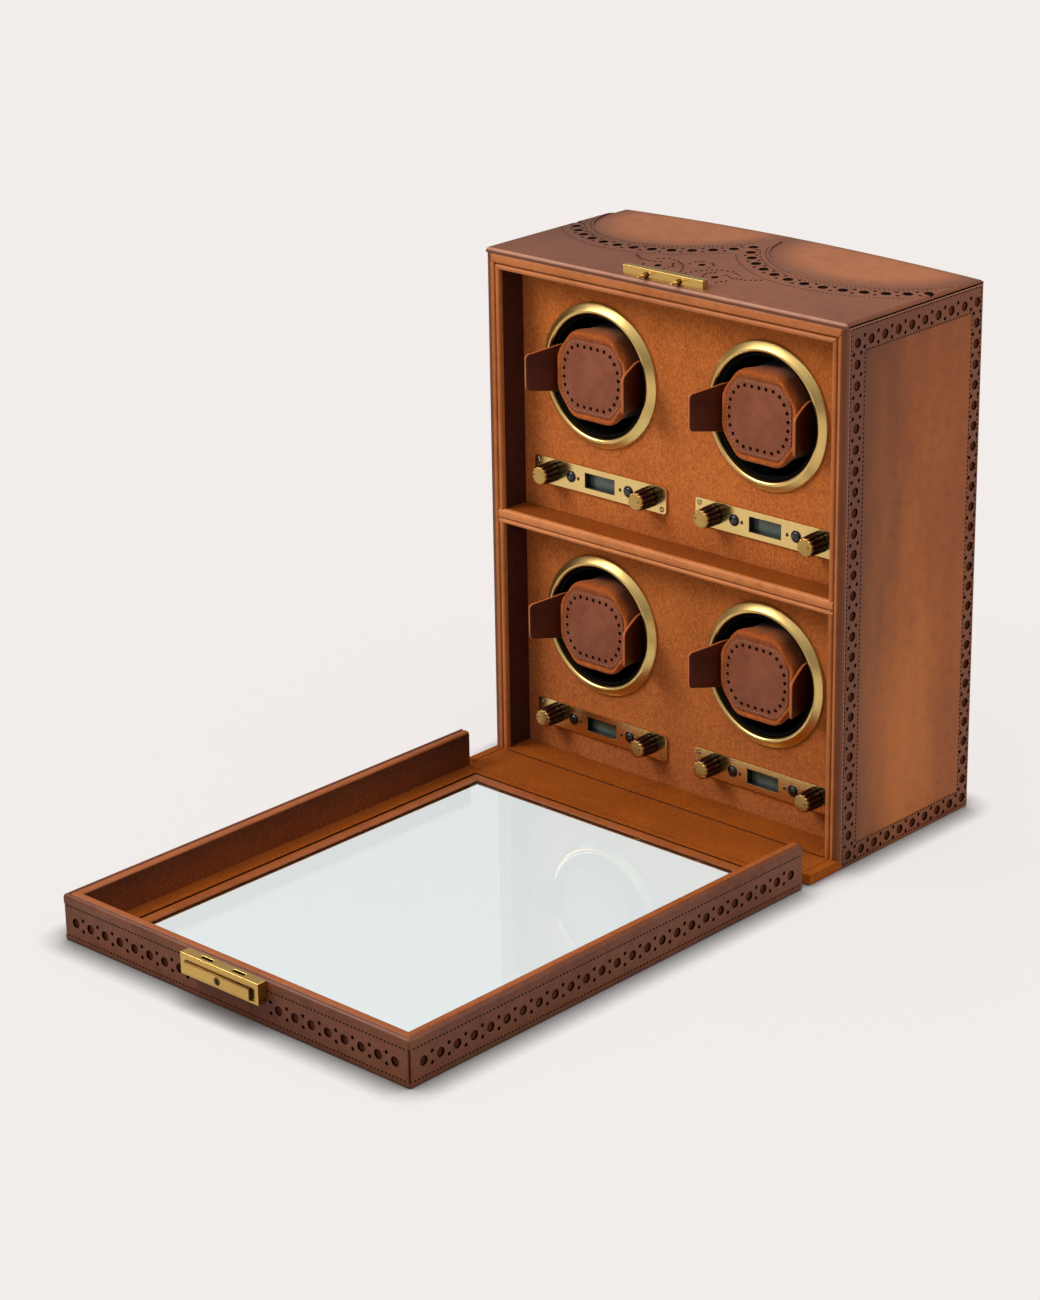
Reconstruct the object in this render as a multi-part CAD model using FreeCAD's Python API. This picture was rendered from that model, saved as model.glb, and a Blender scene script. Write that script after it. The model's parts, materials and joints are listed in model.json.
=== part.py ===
import FreeCAD
import Part
import math
import os

# A four-watch winder: a leather cabinet with four turning drums behind brass
# bezels, and a glazed lid that is hinged at the floor and lies open in front.
# X runs to the right, Y to the back, Z up. The origin is the middle of the
# cabinet's underside. All sizes are in millimetres, and a depth is counted
# from the face of the front rim towards the back.

os.makedirs("parts", exist_ok=True)

# Cabinet
WIDTH = 330.0
DEPTH = 155.0
HEIGHT = 398.5
BOARD = 9.0             # wooden side and top boards
SKIN = 1.5              # leather or suede glued on a board
BASE_THICK = 7.5        # base board, level with the lower compartment's floor
SHELF_Z = 190.0         # underside of the board between the compartments
SHELF_THICK = 10.5
RIM_THICK = 4.0         # the leather frame round the front opening
RIM_TOP = 14.5          # height of the rim's top member
GROOVE = 0.8            # creased line between rim and bead, width and depth
BEAD = 4.0              # inner strip of the rim
EDGE_ROUND = 2.5        # rounding where the rim turns the corner
CROWN_MIDDLE = 4.5      # rise of the padded top in its middle
CROWN_BACK = 3.5        # rise of the top at the middle of its back edge
OVERLAY = 1.2           # toe-cap layer on the top
SCALLOP_R = 74.2        # the layer's two hollows
SCALLOP_SIDES = 36
SCALLOP_X = 84.0
SCALLOP_DEPTH = 147.0
TONGUE_DEPTH = 134.0    # end of the layer's point between the hollows
BACK_THICK = 6.0
BACK_PLAY = 0.3

# Four winding units, two by two
UNIT_X = 77.7           # from the cabinet's middle to a unit's axis
UNIT_RISE = 112.0       # from a compartment's floor to the axis
PANEL_DEPTH = 26.0      # the suede panel's face
PANEL_THICK = 6.0
PANEL_HOLE_R = 50.5     # behind the bezel, wide of the turning cuff
RING_R = 54.4
RING_BORE_R = 46.6
RING_SIDES = 44
DRUM_R = 45.8
DRUM_WALL = 2.2
DRUM_SIDES = 36
DRUM_FRONT = 24.0       # the drum's open front edge
DRUM_BACK = 84.0
SOCKET_R = 20.0         # eight-sided socket for the cuff's plug
SOCKET_WALL = 3.0
SOCKET_LENGTH = 13.0
SHAFT_R = 5.0
SHAFT_PROUD = 1.5       # end of the shaft behind the bridge
RUNNING = 0.05          # radial play of every running fit

# Drive of one unit: a wheel on the drum's back, a pinion on the motor
MODULE = 2.0
WHEEL_TEETH = 27
PINION_TEETH = 9
PRESSURE_ANGLE = math.radians(25.0)
ADDENDUM = 0.8          # in modules
DEDENDUM = 1.05
BACKLASH = 0.3
WHEEL_WIDTH = 6.0
PINION_INSET = 0.5      # the pinion is this much narrower on each face
BRIDGE_DEPTH = 92.0     # board that carries the bearings and the motors
BRIDGE_THICK = 4.0
MOTOR_R = 12.5
MOTOR_LENGTH = 20.0
MOTOR_SHAFT_R = 1.5
MOTOR_SHAFT_IN = 8.0    # length of the pinion's shaft inside the motor

# Cuff that holds a watch
CUFF_W = 66.8
CUFF_H = 65.0
CUFF_FLAT_W = 38.0      # straight part of the top and bottom edges
CUFF_FLAT_H = 22.0      # straight part of the two sides
CUFF_ROUND = 4.5        # how far a corner's rounding reaches along its edges
CUFF_FACE = 13.0
CUFF_BACK = 62.0
WING_TIP = (48.0, -4.0)         # half spread and depth of a wing's tip
WING_BEND = (38.6, 21.0)
WING_SEAT = (34.0, 50.0)        # depths between which a wing lies on the cuff
WING_THICK = 2.2
WING_HEIGHT = 36.0
WING_TIP_HEIGHT = 28.0

# Control plate of one unit
PLATE_RISE = 30.0       # from the compartment's floor to the plate's middle
PLATE_W = 128.0
PLATE_H = 20.5
PLATE_THICK = 2.0
PLATE_CORNER = 3.0
CUTOUT_W = 116.0        # opening in the suede panel behind the plate
CUTOUT_H = 16.0
MODULE_PLAY = 0.6       # round the control module in that opening
MODULE_BACK = 38.0
KNOB_X = 47.0
KNOB_R = 7.9
KNOB_CAP_R = 6.8
KNOB_FLUTE = 0.87       # depth of a flute, as a share of the radius
KNOB_LENGTH = 14.5
KNOB_LOBES = 14
KNOB_CAP_SIDES = 16
KNOB_SHAFT_R = 3.0
KNOB_SHAFT_END = 35.0
BUTTON_X = 28.0
BUTTON_R = 3.5
BUTTON_SIDES = 10
BUTTON_PROUD = 1.6
BUTTON_COLLAR = 8.4
BUTTON_STEM = 3.0
BUTTON_TRAVEL = 1.0
WINDOW_W = 29.0
WINDOW_H = 11.5
WINDOW_DEPTH = 5.6      # from the plate's face to the display's glass
DISPLAY_THICK = 1.0

# Lid, modelled lying open on the floor
LID_HEIGHT = 34.0
LID_WALL = 10.0
LID_FRAME = 7.0         # thickness of the frame round the glass
LID_BORDER = 17.0       # width of that frame inside the walls
LID_BEAD = 5.0
LIP_Z = 1.2             # ledge under the glass
GLASS_THICK = 3.0
GLASS_PLAY = 0.3
CLOSED_GAP = 0.4        # between the closed lid and the cabinet's rim
FLAP_GAP = 0.8          # between the closed lid and the base board's flap
PIN_R = 0.8
PIN_HEAD_R = 1.3
PIN_HEAD = 1.0
KNUCKLE_R = 1.6
KNUCKLES = 9
KNUCKLE_GAP = 0.2
HINGE_LENGTH = 314.0
HINGE_Z = 1.7
LEAF_THICK = 0.8
LEAF_WIDTH = 12.0

# Lock on the lid, strike plate on the cabinet
LOCK_W = 74.0
LOCK_H = 15.5
LOCK_PROUD = 8.0
LOCK_WALL = 1.6
HOOK_X = 15.0
HOOK_W = 10.0
HOOK_THICK = 1.6
HOOK_REACH = 9.0
HOOK_RISE = 3.8         # above the edge that the strike plate stands on
HOOK_SLOT = 2.8
BAR_LEFT = -32.5
BAR_RIGHT = 30.5
BAR_H = 8.6
BAR_RISE = 1.9          # from the case's underside to the bar
BAR_PROUD = 1.8
BAR_SEAT = 0.9          # depth of the bar's track in the case
BAR_TRAVEL = 3.0
BAR_PLAY = 0.2          # above and below the bar in its track
NECK_W = 15.0           # neck between the bar and its latch plate
NECK_INSET = 1.4
LATCH_W = 56.0
LATCH_THICK = 1.0
KEY_R = 2.6
KEYHOLE_W = 0.9
KEYHOLE_H = 2.6
KEYHOLE_DEEP = 2.5
STRIKE_W = 73.0
STRIKE_D = 6.0
STRIKE_H = 8.0
STRIKE_SETBACK = 4.5

# Power inlet in the back panel
INLET_R = 2.85
INLET_SIDES = 16
INLET_LENGTH = 12.0
INLET_BODY_R = 5.8
INLET_FLANGE_R = 8.0
INLET_FLANGE = 1.2
INLET_DEEP = 9.0
INLET_Z = 40.0

FRONT = -DEPTH / 2
BACK = DEPTH / 2
SIDE = WIDTH / 2
TOP = HEIGHT
BOARD_OUT = SIDE - SKIN
BOARD_IN = BOARD_OUT - BOARD
OPEN_X = BOARD_IN - SKIN                 # half width of a compartment
OPEN_TOP = TOP - RIM_TOP
CEILING = OPEN_TOP + SKIN
UPPER_FLOOR = SHELF_Z + SHELF_THICK
HINGE_Y = FRONT - (LID_HEIGHT - HINGE_Z + CLOSED_GAP)
FLAP_Y = HINGE_Y + KNUCKLE_R + 0.3       # front face of the base board
LID_FAR = HINGE_Y - (BASE_THICK - HINGE_Z + FLAP_GAP)
LID_NEAR = HINGE_Y - (HEIGHT - HINGE_Z)
GLASS_X = SIDE - LID_WALL - LID_BORDER
GLASS_NEAR = LID_NEAR + LID_WALL + LID_BORDER
GLASS_FAR = HINGE_Y - LID_BORDER
GLASS_TOP = LIP_Z + GLASS_THICK
CENTRES = MODULE * (WHEEL_TEETH + PINION_TEETH) / 2
PLATE_FACE = PANEL_DEPTH - PLATE_THICK
LOCK_FACE = LID_NEAR - LOCK_PROUD
LOCK_LOW = LID_HEIGHT - LOCK_H
BAR_LOW = LOCK_LOW + BAR_RISE
BAR_MIDDLE_Z = BAR_LOW + BAR_H / 2
UNITS = [
    ("upper_left", -UNIT_X, UPPER_FLOOR),
    ("upper_right", UNIT_X, UPPER_FLOOR),
    ("lower_left", -UNIT_X, BASE_THICK),
    ("lower_right", UNIT_X, BASE_THICK),
]


def at(x, depth, z):
    """The place at x and z that lies this deep behind the rim's face."""
    return FreeCAD.Vector(x, FRONT + depth, z)


def box(x0, x1, y0, y1, z0, z1):
    return Part.makeBox(x1 - x0, y1 - y0, z1 - z0, FreeCAD.Vector(x0, y0, z0))


def block(x, z, width, height, d0, d1):
    """A box centred on x and z, from depth d0 to depth d1."""
    return Part.makeBox(width, d1 - d0, height, at(x - width / 2, d0, z - height / 2))


def flat(corners):
    return Part.Face(Part.makePolygon(corners + [corners[0]]))


def circle(x, z, radius, sides, depth):
    """The corners of a regular outline round an axis along Y."""
    corners = []
    for i in range(sides):
        angle = 2 * math.pi * (i + 0.5) / sides
        corners.append(at(x + radius * math.cos(angle), depth, z + radius * math.sin(angle)))
    return corners


def prism(corners, length):
    return flat(corners).extrude(FreeCAD.Vector(0, length, 0))


def bar(x, z, radius, sides, d0, d1):
    """A many-sided round bar along Y."""
    return prism(circle(x, z, radius, sides, d0), d1 - d0)


def rod(x, z, radius, d0, d1):
    """A truly round bar along Y, for the pieces that turn in a bearing."""
    return Part.makeCylinder(radius, d1 - d0, at(x, d0, z), FreeCAD.Vector(0, 1, 0))


def hole(x, z, radius, sides, d0, d1):
    """A many-sided cut along Y that a round bar of the radius passes through."""
    return bar(x, z, radius / math.cos(math.pi / sides), sides, d0, d1)


def skin(rings, closed=False):
    """A solid with flat faces between each ring of corners and the next one."""
    pairs = list(zip(rings, rings[1:]))
    faces = []
    if closed:
        pairs.append((rings[-1], rings[0]))
    else:
        faces = [flat(rings[0]), flat(rings[-1])]
    for one, other in pairs:
        for i in range(len(one)):
            faces.append(flat([one[i - 1], one[i], other[i], other[i - 1]]))
    solid = Part.makeSolid(Part.makeShell(faces))
    if solid.Volume < 0:
        solid.reverse()
    return solid


def turned(x, z, section, sides, closed=False):
    """A many-sided turned piece from a section of radius and depth pairs."""
    return skin([circle(x, z, r, sides, d) for r, d in section], closed)


def cut_all(body, tools):
    return body.cut(Part.makeCompound(tools))


def fuse(shapes):
    return shapes[0].multiFuse(shapes[1:]).removeSplitter()


def save(name, solids):
    """Write one named piece, given as a list of its separate solids."""
    shape = solids[0] if len(solids) == 1 else Part.makeCompound(solids)
    if not shape.isValid():
        raise ValueError(name + " is not a valid solid")
    shape.exportStep("parts/" + name + ".step")


# Cabinet

def carcass():
    """Left, right and top boards, which the back panel is let into."""
    y0 = FRONT + RIM_THICK
    outer = box(-BOARD_OUT, BOARD_OUT, y0, BACK, BASE_THICK, TOP - SKIN)
    return outer.cut(box(-BOARD_IN, BOARD_IN, y0 - 1, BACK + 1, BASE_THICK - 1, CEILING))


def base_board():
    """The cabinet's floor, which runs out in front as the flap that carries the hinge."""
    flap = box(-SIDE, SIDE, FLAP_Y, FRONT + RIM_THICK, 0, BASE_THICK)
    floor = box(-BOARD_OUT, BOARD_OUT, FRONT, BACK, 0, BASE_THICK)
    border = OPEN_X + BEAD
    low = BASE_THICK - GROOVE
    high = BASE_THICK + 1
    creases = [box(-OPEN_X, OPEN_X, FRONT, FRONT + GROOVE, low, high)]
    for x in (-border - GROOVE, border):
        creases.append(box(x, x + GROOVE, FLAP_Y - 1, FRONT, low, high))
    return cut_all(fuse([flap, floor]), creases)


def mid_shelf():
    """The board between the compartments, with a soft nose."""
    board = box(-OPEN_X, OPEN_X, FRONT, FRONT + PANEL_DEPTH, SHELF_Z, UPPER_FLOOR)
    nose = []
    for edge in board.Edges:
        middle = edge.CenterOfMass
        if abs(middle.x) < 1 and abs(middle.y - FRONT) < 0.01:
            nose.append(edge)
    return board.makeFillet(1.5, nose)


def side_leather():
    """The outer leather of both sides, behind the rim's turned corner."""
    y0 = FRONT + RIM_THICK
    left = box(-SIDE, -BOARD_OUT, y0, BACK, 0, TOP - SKIN)
    right = box(BOARD_OUT, SIDE, y0, BACK, 0, TOP - SKIN)
    return [left, right]


def crowned_pad(low, edge):
    """A block as wide and deep as the cabinet whose top face swells above its edges."""
    middle = 8 * CROWN_MIDDLE - CROWN_BACK
    rows = [(FRONT, 0.0), (0.0, middle / 2), (BACK, 2 * CROWN_BACK)]
    surface = Part.BezierSurface()
    surface.increase(2, 2)
    for i, x in enumerate((-SIDE, 0.0, SIDE)):
        for j, (y, rise) in enumerate(rows):
            z = edge + (rise if i == 1 else 0.0)
            surface.setPole(i + 1, j + 1, FreeCAD.Vector(x, y, z))
    top = surface.toShape()
    drop = FreeCAD.Vector(0, 0, -40.0)
    column = top.extrude(drop)
    return column.common(box(-SIDE, SIDE, FRONT, BACK, low, edge + 2 * CROWN_MIDDLE))


def strike_body():
    y0 = FRONT + STRIKE_SETBACK
    return box(-STRIKE_W / 2, STRIKE_W / 2, y0, y0 + STRIKE_D, TOP, TOP + STRIKE_H)


def top_leather():
    """The padded top, let in for the strike plate."""
    return crowned_pad(TOP - SKIN, TOP).cut(strike_body())


def top_overlay():
    """The toe cap, a second layer whose back edge is two hollows that meet in a point."""
    layer = crowned_pad(TOP - 1, TOP + OVERLAY).cut(crowned_pad(TOP - 2, TOP))
    low = TOP - 5
    high = TOP + 20
    middle = FRONT + SCALLOP_DEPTH
    cuts = [strike_body()]
    for x in (-SCALLOP_X, SCALLOP_X):
        corners = []
        for i in range(SCALLOP_SIDES):
            angle = 2 * math.pi * (i + 0.5) / SCALLOP_SIDES
            y = middle + SCALLOP_R * math.sin(angle)
            corners.append(FreeCAD.Vector(x + SCALLOP_R * math.cos(angle), y, low))
        cuts.append(flat(corners).extrude(FreeCAD.Vector(0, 0, high - low)))
    tongue = SCALLOP_X - SCALLOP_R + 1
    y_tongue = FRONT + TONGUE_DEPTH
    cuts.append(box(-tongue, tongue, y_tongue, BACK + 1, low, high))
    cuts.append(box(-SIDE - 1, SIDE + 1, middle, BACK + 1, low, high))
    return cut_all(layer, cuts)


def front_rim():
    """The leather frame on the cabinet's front, creased between its outer strip and its bead."""
    y1 = FRONT + RIM_THICK
    frame = box(-SIDE, SIDE, FRONT, y1, BASE_THICK, TOP - SKIN)
    frame = frame.cut(box(-OPEN_X, OPEN_X, FRONT - 1, y1 + 1, BASE_THICK - 1, OPEN_TOP))
    x = OPEN_X + BEAD
    z = OPEN_TOP + BEAD
    line = box(-x - GROOVE, x + GROOVE, FRONT - 1, FRONT + GROOVE, BASE_THICK - 1, z + GROOVE)
    frame = frame.cut(line.cut(box(-x, x, FRONT - 2, FRONT + 2, BASE_THICK - 2, z)))
    corners = []
    for edge in frame.Edges:
        middle = edge.CenterOfMass
        if abs(middle.y - FRONT) < 0.01 and abs(abs(middle.x) - SIDE) < 0.01:
            corners.append(edge)
    return frame.makeFillet(EDGE_ROUND, corners)


def recess_lining():
    """Suede on the side walls and the ceiling in front of the panels."""
    y0 = FRONT + RIM_THICK
    y1 = FRONT + PANEL_DEPTH
    left = box(-BOARD_IN, -OPEN_X, y0, y1, BASE_THICK, OPEN_TOP)
    right = box(OPEN_X, BOARD_IN, y0, y1, BASE_THICK, OPEN_TOP)
    ceiling = box(-BOARD_IN, BOARD_IN, y0, y1, OPEN_TOP, CEILING)
    return [left, right, ceiling]


def face_panels():
    """One suede board per compartment, holed for the drums and the control modules."""
    panels = []
    d1 = PANEL_DEPTH + PANEL_THICK
    for floor, top in ((BASE_THICK, UPPER_FLOOR), (UPPER_FLOOR, CEILING)):
        panel = box(-BOARD_IN, BOARD_IN, FRONT + PANEL_DEPTH, FRONT + d1, floor, top)
        holes = []
        for x in (-UNIT_X, UNIT_X):
            holes.append(hole(x, floor + UNIT_RISE, PANEL_HOLE_R, 24, PANEL_DEPTH - 1, d1 + 1))
            z = floor + PLATE_RISE
            holes.append(block(x, z, CUTOUT_W, CUTOUT_H, PANEL_DEPTH - 1, d1 + 1))
        panels.append(cut_all(panel, holes))
    return panels


def back_panel():
    """The board that closes the back, holed for the power inlet."""
    x = BOARD_IN - BACK_PLAY
    top = CEILING - BACK_PLAY
    board = box(-x, x, BACK - BACK_THICK, BACK, BASE_THICK, top)
    return board.cut(bar(0, INLET_Z, INLET_BODY_R, INLET_SIDES, DEPTH - BACK_THICK - 1, DEPTH + 1))


def power_inlet():
    """A round low-voltage socket, held in the back panel by its flange."""
    body = bar(0, INLET_Z, INLET_BODY_R, INLET_SIDES, DEPTH - INLET_LENGTH, DEPTH)
    mouth = DEPTH + INLET_FLANGE
    flange = bar(0, INLET_Z, INLET_FLANGE_R, INLET_SIDES, DEPTH, mouth)
    bore = rod(0, INLET_Z, INLET_R, mouth - INLET_DEEP, mouth + 1)
    return fuse([body, flange]).cut(bore)


# Winding units

def bezel_ring(x, z):
    """The brass bezel, highest at its inner lip and sloping away outwards."""
    section = [
        (RING_R, PANEL_DEPTH),
        (RING_R, PANEL_DEPTH - 1.6),
        (RING_R - 5.6, PANEL_DEPTH - 5.6),
        (RING_BORE_R, PANEL_DEPTH - 4.6),
        (RING_BORE_R, PANEL_DEPTH),
    ]
    return turned(x, z, section, RING_SIDES, closed=True)


def gear_outline(teeth, x, z, turn, depth):
    """The corners of a spur gear, two on each flank and placed on its involute."""
    pitch_r = MODULE * teeth / 2
    base_r = pitch_r * math.cos(PRESSURE_ANGLE)
    tooth = (math.pi * MODULE / 2 - BACKLASH) / pitch_r / 2

    def involute(radius):
        roll = math.sqrt(max(radius, base_r) ** 2 / base_r ** 2 - 1)
        return roll - math.atan(roll)

    flank = []
    for radius in (pitch_r - DEDENDUM * MODULE, pitch_r + ADDENDUM * MODULE):
        flank.append((radius, tooth + involute(pitch_r) - involute(radius)))
    corners = []
    for i in range(teeth):
        middle = turn + 2 * math.pi * i / teeth
        for radius, offset in flank:
            angle = middle - offset
            corners.append(at(x + radius * math.cos(angle), depth, z + radius * math.sin(angle)))
        for radius, offset in reversed(flank):
            angle = middle + offset
            corners.append(at(x + radius * math.cos(angle), depth, z + radius * math.sin(angle)))
    return corners


def drum(x, z):
    """The turning cup with the cuff's socket inside, and the wheel and shaft on its back."""
    inner = DRUM_R - DRUM_WALL
    floor = DRUM_BACK - DRUM_WALL
    section = [(DRUM_R, DRUM_BACK), (DRUM_R, DRUM_FRONT), (inner, DRUM_FRONT), (inner, floor)]
    cup = turned(x, z, section, DRUM_SIDES)
    lug = bar(x, z, SOCKET_R + SOCKET_WALL, 8, floor - SOCKET_LENGTH, floor + 1)
    wheel = prism(gear_outline(WHEEL_TEETH, x, z, math.pi / 2, DRUM_BACK - 0.5), WHEEL_WIDTH + 0.5)
    shaft = rod(x, z, SHAFT_R, DRUM_BACK, BRIDGE_DEPTH + BRIDGE_THICK + SHAFT_PROUD)
    socket = hole(x, z, SOCKET_R * math.cos(math.pi / 8) + RUNNING, 8, 0.0, floor)
    return fuse([cup, lug, wheel, shaft]).cut(socket)


def drive_bridge():
    """The board across the cabinet that carries the drums' bearings and the motors."""
    d0 = BRIDGE_DEPTH
    d1 = BRIDGE_DEPTH + BRIDGE_THICK
    board = box(-BOARD_IN, BOARD_IN, FRONT + d0, FRONT + d1, BASE_THICK, CEILING)
    holes = []
    for _, x, floor in UNITS:
        z = floor + UNIT_RISE
        holes.append(hole(x, z, SHAFT_R + RUNNING, 12, d0 - 1, d1 + 1))
        holes.append(hole(x, z + CENTRES, 2 * MOTOR_SHAFT_R, 8, d0 - 1, d1 + 1))
    return cut_all(board, holes)


def pinion(x, z):
    """The motor's shaft with its pinion, in mesh straight above the drum's wheel."""
    turn = -math.pi / 2 + math.pi / PINION_TEETH
    d0 = DRUM_BACK + PINION_INSET
    d1 = DRUM_BACK + WHEEL_WIDTH - PINION_INSET
    wheel = prism(gear_outline(PINION_TEETH, x, z + CENTRES, turn, d0), d1 - d0)
    end = BRIDGE_DEPTH + BRIDGE_THICK + MOTOR_SHAFT_IN
    return fuse([wheel, rod(x, z + CENTRES, MOTOR_SHAFT_R, d1 - 0.5, end)])


def gear_motor(x, z):
    """A round motor on the back of the bridge, bored for its shaft."""
    d0 = BRIDGE_DEPTH + BRIDGE_THICK
    body = bar(x, z + CENTRES, MOTOR_R, 20, d0, d0 + MOTOR_LENGTH)
    end = d0 + MOTOR_SHAFT_IN + 1
    return body.cut(hole(x, z + CENTRES, MOTOR_SHAFT_R + RUNNING, 8, d0 - 1, end))


def cuff_ring(x, z, inset, depth):
    """The cuff's outline drawn in by inset: an octagon with each corner rounded."""
    w = CUFF_W / 2
    h = CUFF_H / 2
    flat_w = CUFF_FLAT_W / 2
    flat_h = CUFF_FLAT_H / 2
    slant = math.hypot(w - flat_w, h - flat_h)
    across = (h - flat_h) / slant
    along = (w - flat_w) / slant
    flat_w -= inset * (1 - along) / across
    flat_h -= inset * (1 - across) / along
    w -= inset
    h -= inset
    quarter = [(w, -flat_h), (w, flat_h), (flat_w, h), (-flat_w, h)]
    points = quarter + [(-px, -pz) for px, pz in quarter]
    corners = [at(x + px, depth, z + pz) for px, pz in points]
    ring = []
    for i, corner in enumerate(corners):
        before = (corners[i - 1] - corner).normalize() * CUFF_ROUND
        after = (corners[(i + 1) % 8] - corner).normalize() * CUFF_ROUND
        ring += [corner + before, corner + (before + after) * 0.28, corner + after]
    return ring


def cuff(x, z):
    """The padded watch holder: rolled edges, a stitched face plate let in, and a plug behind."""
    steps = [
        (0.0, CUFF_BACK),
        (0.0, CUFF_FACE + 3.0),
        (1.0, CUFF_FACE + 0.9),
        (3.2, CUFF_FACE),
        (6.2, CUFF_FACE + 0.7),
        (7.0, CUFF_FACE + 0.4),
    ]
    body = skin([cuff_ring(x, z, inset, depth) for inset, depth in steps])
    plug = bar(x, z, SOCKET_R, 8, CUFF_BACK - 1, DRUM_BACK - DRUM_WALL - 0.5)
    return fuse([body, plug])


def wing(x, z, hand):
    """One sprung wing: a bent band along the cuff's side that narrows to its tip."""
    side = CUFF_W / 2
    near, far = WING_SEAT
    path = [(side, far), (side, near), (WING_BEND[0] - WING_THICK, WING_BEND[1])]
    path.append((WING_TIP[0] - WING_THICK, WING_TIP[1]))
    outer = [WING_TIP, WING_BEND, (side + WING_THICK, near), (side + WING_THICK, far)]
    low = z - WING_HEIGHT / 2
    band = flat([at(x + hand * px, d, low) for px, d in path + outer])
    band = band.extrude(FreeCAD.Vector(0, 0, WING_HEIGHT))
    half = WING_HEIGHT / 2
    tip = WING_TIP_HEIGHT / 2
    outline = [(far + 1, -half), (WING_BEND[1], -half), (WING_TIP[1], -tip)]
    outline += [(d, -pz) for d, pz in reversed(outline)]
    start = x + hand * (side - 5)
    pane = flat([at(start, d, z + pz) for d, pz in outline])
    return band.common(pane.extrude(FreeCAD.Vector(hand * (WING_TIP[0] - side + 10), 0, 0)))


# Controls

def plate_outline(x, z, depth):
    """A rectangle whose corners are rounded in two steps."""
    w = PLATE_W / 2
    h = PLATE_H / 2
    corners = []
    for sx, sz, order in ((1, -1, 1), (1, 1, -1), (-1, 1, 1), (-1, -1, -1)):
        steps = [(PLATE_CORNER, 0.0), (PLATE_CORNER * 0.3, PLATE_CORNER * 0.3), (0.0, PLATE_CORNER)]
        for inset_x, inset_z in steps[::order]:
            corners.append(at(x + sx * (w - inset_x), depth, z + sz * (h - inset_z)))
    return corners


def control_plate(x, z):
    """The brass plate, pierced for two knobs, two buttons and the display."""
    plate = prism(plate_outline(x, z, PLATE_FACE), PLATE_THICK)
    d0 = PLATE_FACE - 1
    d1 = PANEL_DEPTH + 1
    holes = [block(x, z, WINDOW_W, WINDOW_H, d0, d1)]
    for side in (-1, 1):
        holes.append(hole(x + side * KNOB_X, z, KNOB_SHAFT_R + 0.2, 8, d0, d1))
        holes.append(hole(x + side * BUTTON_X, z, BUTTON_R + RUNNING, BUTTON_SIDES, d0, d1))
    return cut_all(plate, holes)


def control_module(x, z):
    """The moulded case behind a plate: display well, two shaft bearings, two button wells."""
    width = CUTOUT_W - 2 * MODULE_PLAY
    height = CUTOUT_H - 2 * MODULE_PLAY
    case = block(x, z, width, height, PANEL_DEPTH, MODULE_BACK)
    well = PLATE_FACE + WINDOW_DEPTH + DISPLAY_THICK
    d0 = PANEL_DEPTH - 1
    cuts = [block(x, z, WINDOW_W, WINDOW_H, d0, well)]
    button_well = BUTTON_COLLAR + 1.0
    for side in (-1, 1):
        cuts.append(hole(x + side * KNOB_X, z, KNOB_SHAFT_R + RUNNING, 8, d0, KNOB_SHAFT_END + 1))
        cuts.append(block(x + side * BUTTON_X, z, button_well, button_well, d0, PANEL_DEPTH + 6.0))
    return cut_all(case, cuts)


def display(x, z):
    """The display's glass at the bottom of its well."""
    face = PLATE_FACE + WINDOW_DEPTH
    return block(x, z, WINDOW_W - 0.2, WINDOW_H - 0.2, face, face + DISPLAY_THICK)


def knob(x, z):
    """A fluted knob that narrows to a flat brass cap, on its shaft."""
    base = PLATE_FACE - 0.4
    front = base - KNOB_LENGTH
    cap = front + 2.2

    def star(radius, depth):
        corners = circle(x, z, radius, 2 * KNOB_LOBES, depth)
        middle = at(x, depth, z)
        return [middle + (c - middle) * (1.0 if i % 2 else KNOB_FLUTE) for i, c in enumerate(corners)]

    grip = skin([star(KNOB_CAP_R, cap), star(KNOB_R, base)])
    section = [(KNOB_CAP_R - 0.5, front), (KNOB_CAP_R, front + 0.5), (KNOB_CAP_R, cap)]
    face = turned(x, z, section, KNOB_CAP_SIDES)
    return fuse([grip, face, rod(x, z, KNOB_SHAFT_R, base, KNOB_SHAFT_END)])


def button(x, z):
    """A domed push button, kept behind the plate by its collar."""
    front = PLATE_FACE - BUTTON_PROUD
    back = PANEL_DEPTH + RUNNING
    section = [(BUTTON_R - 1.0, front), (BUTTON_R, front + 0.8), (BUTTON_R, back)]
    head = turned(x, z, section, BUTTON_SIDES)
    collar = block(x, z, BUTTON_COLLAR, BUTTON_COLLAR, back, back + 1.2)
    stem = block(x, z, BUTTON_STEM, BUTTON_STEM, back + 1, PANEL_DEPTH + 5.9 - BUTTON_TRAVEL)
    return fuse([head, collar, stem])


# Lid

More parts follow.
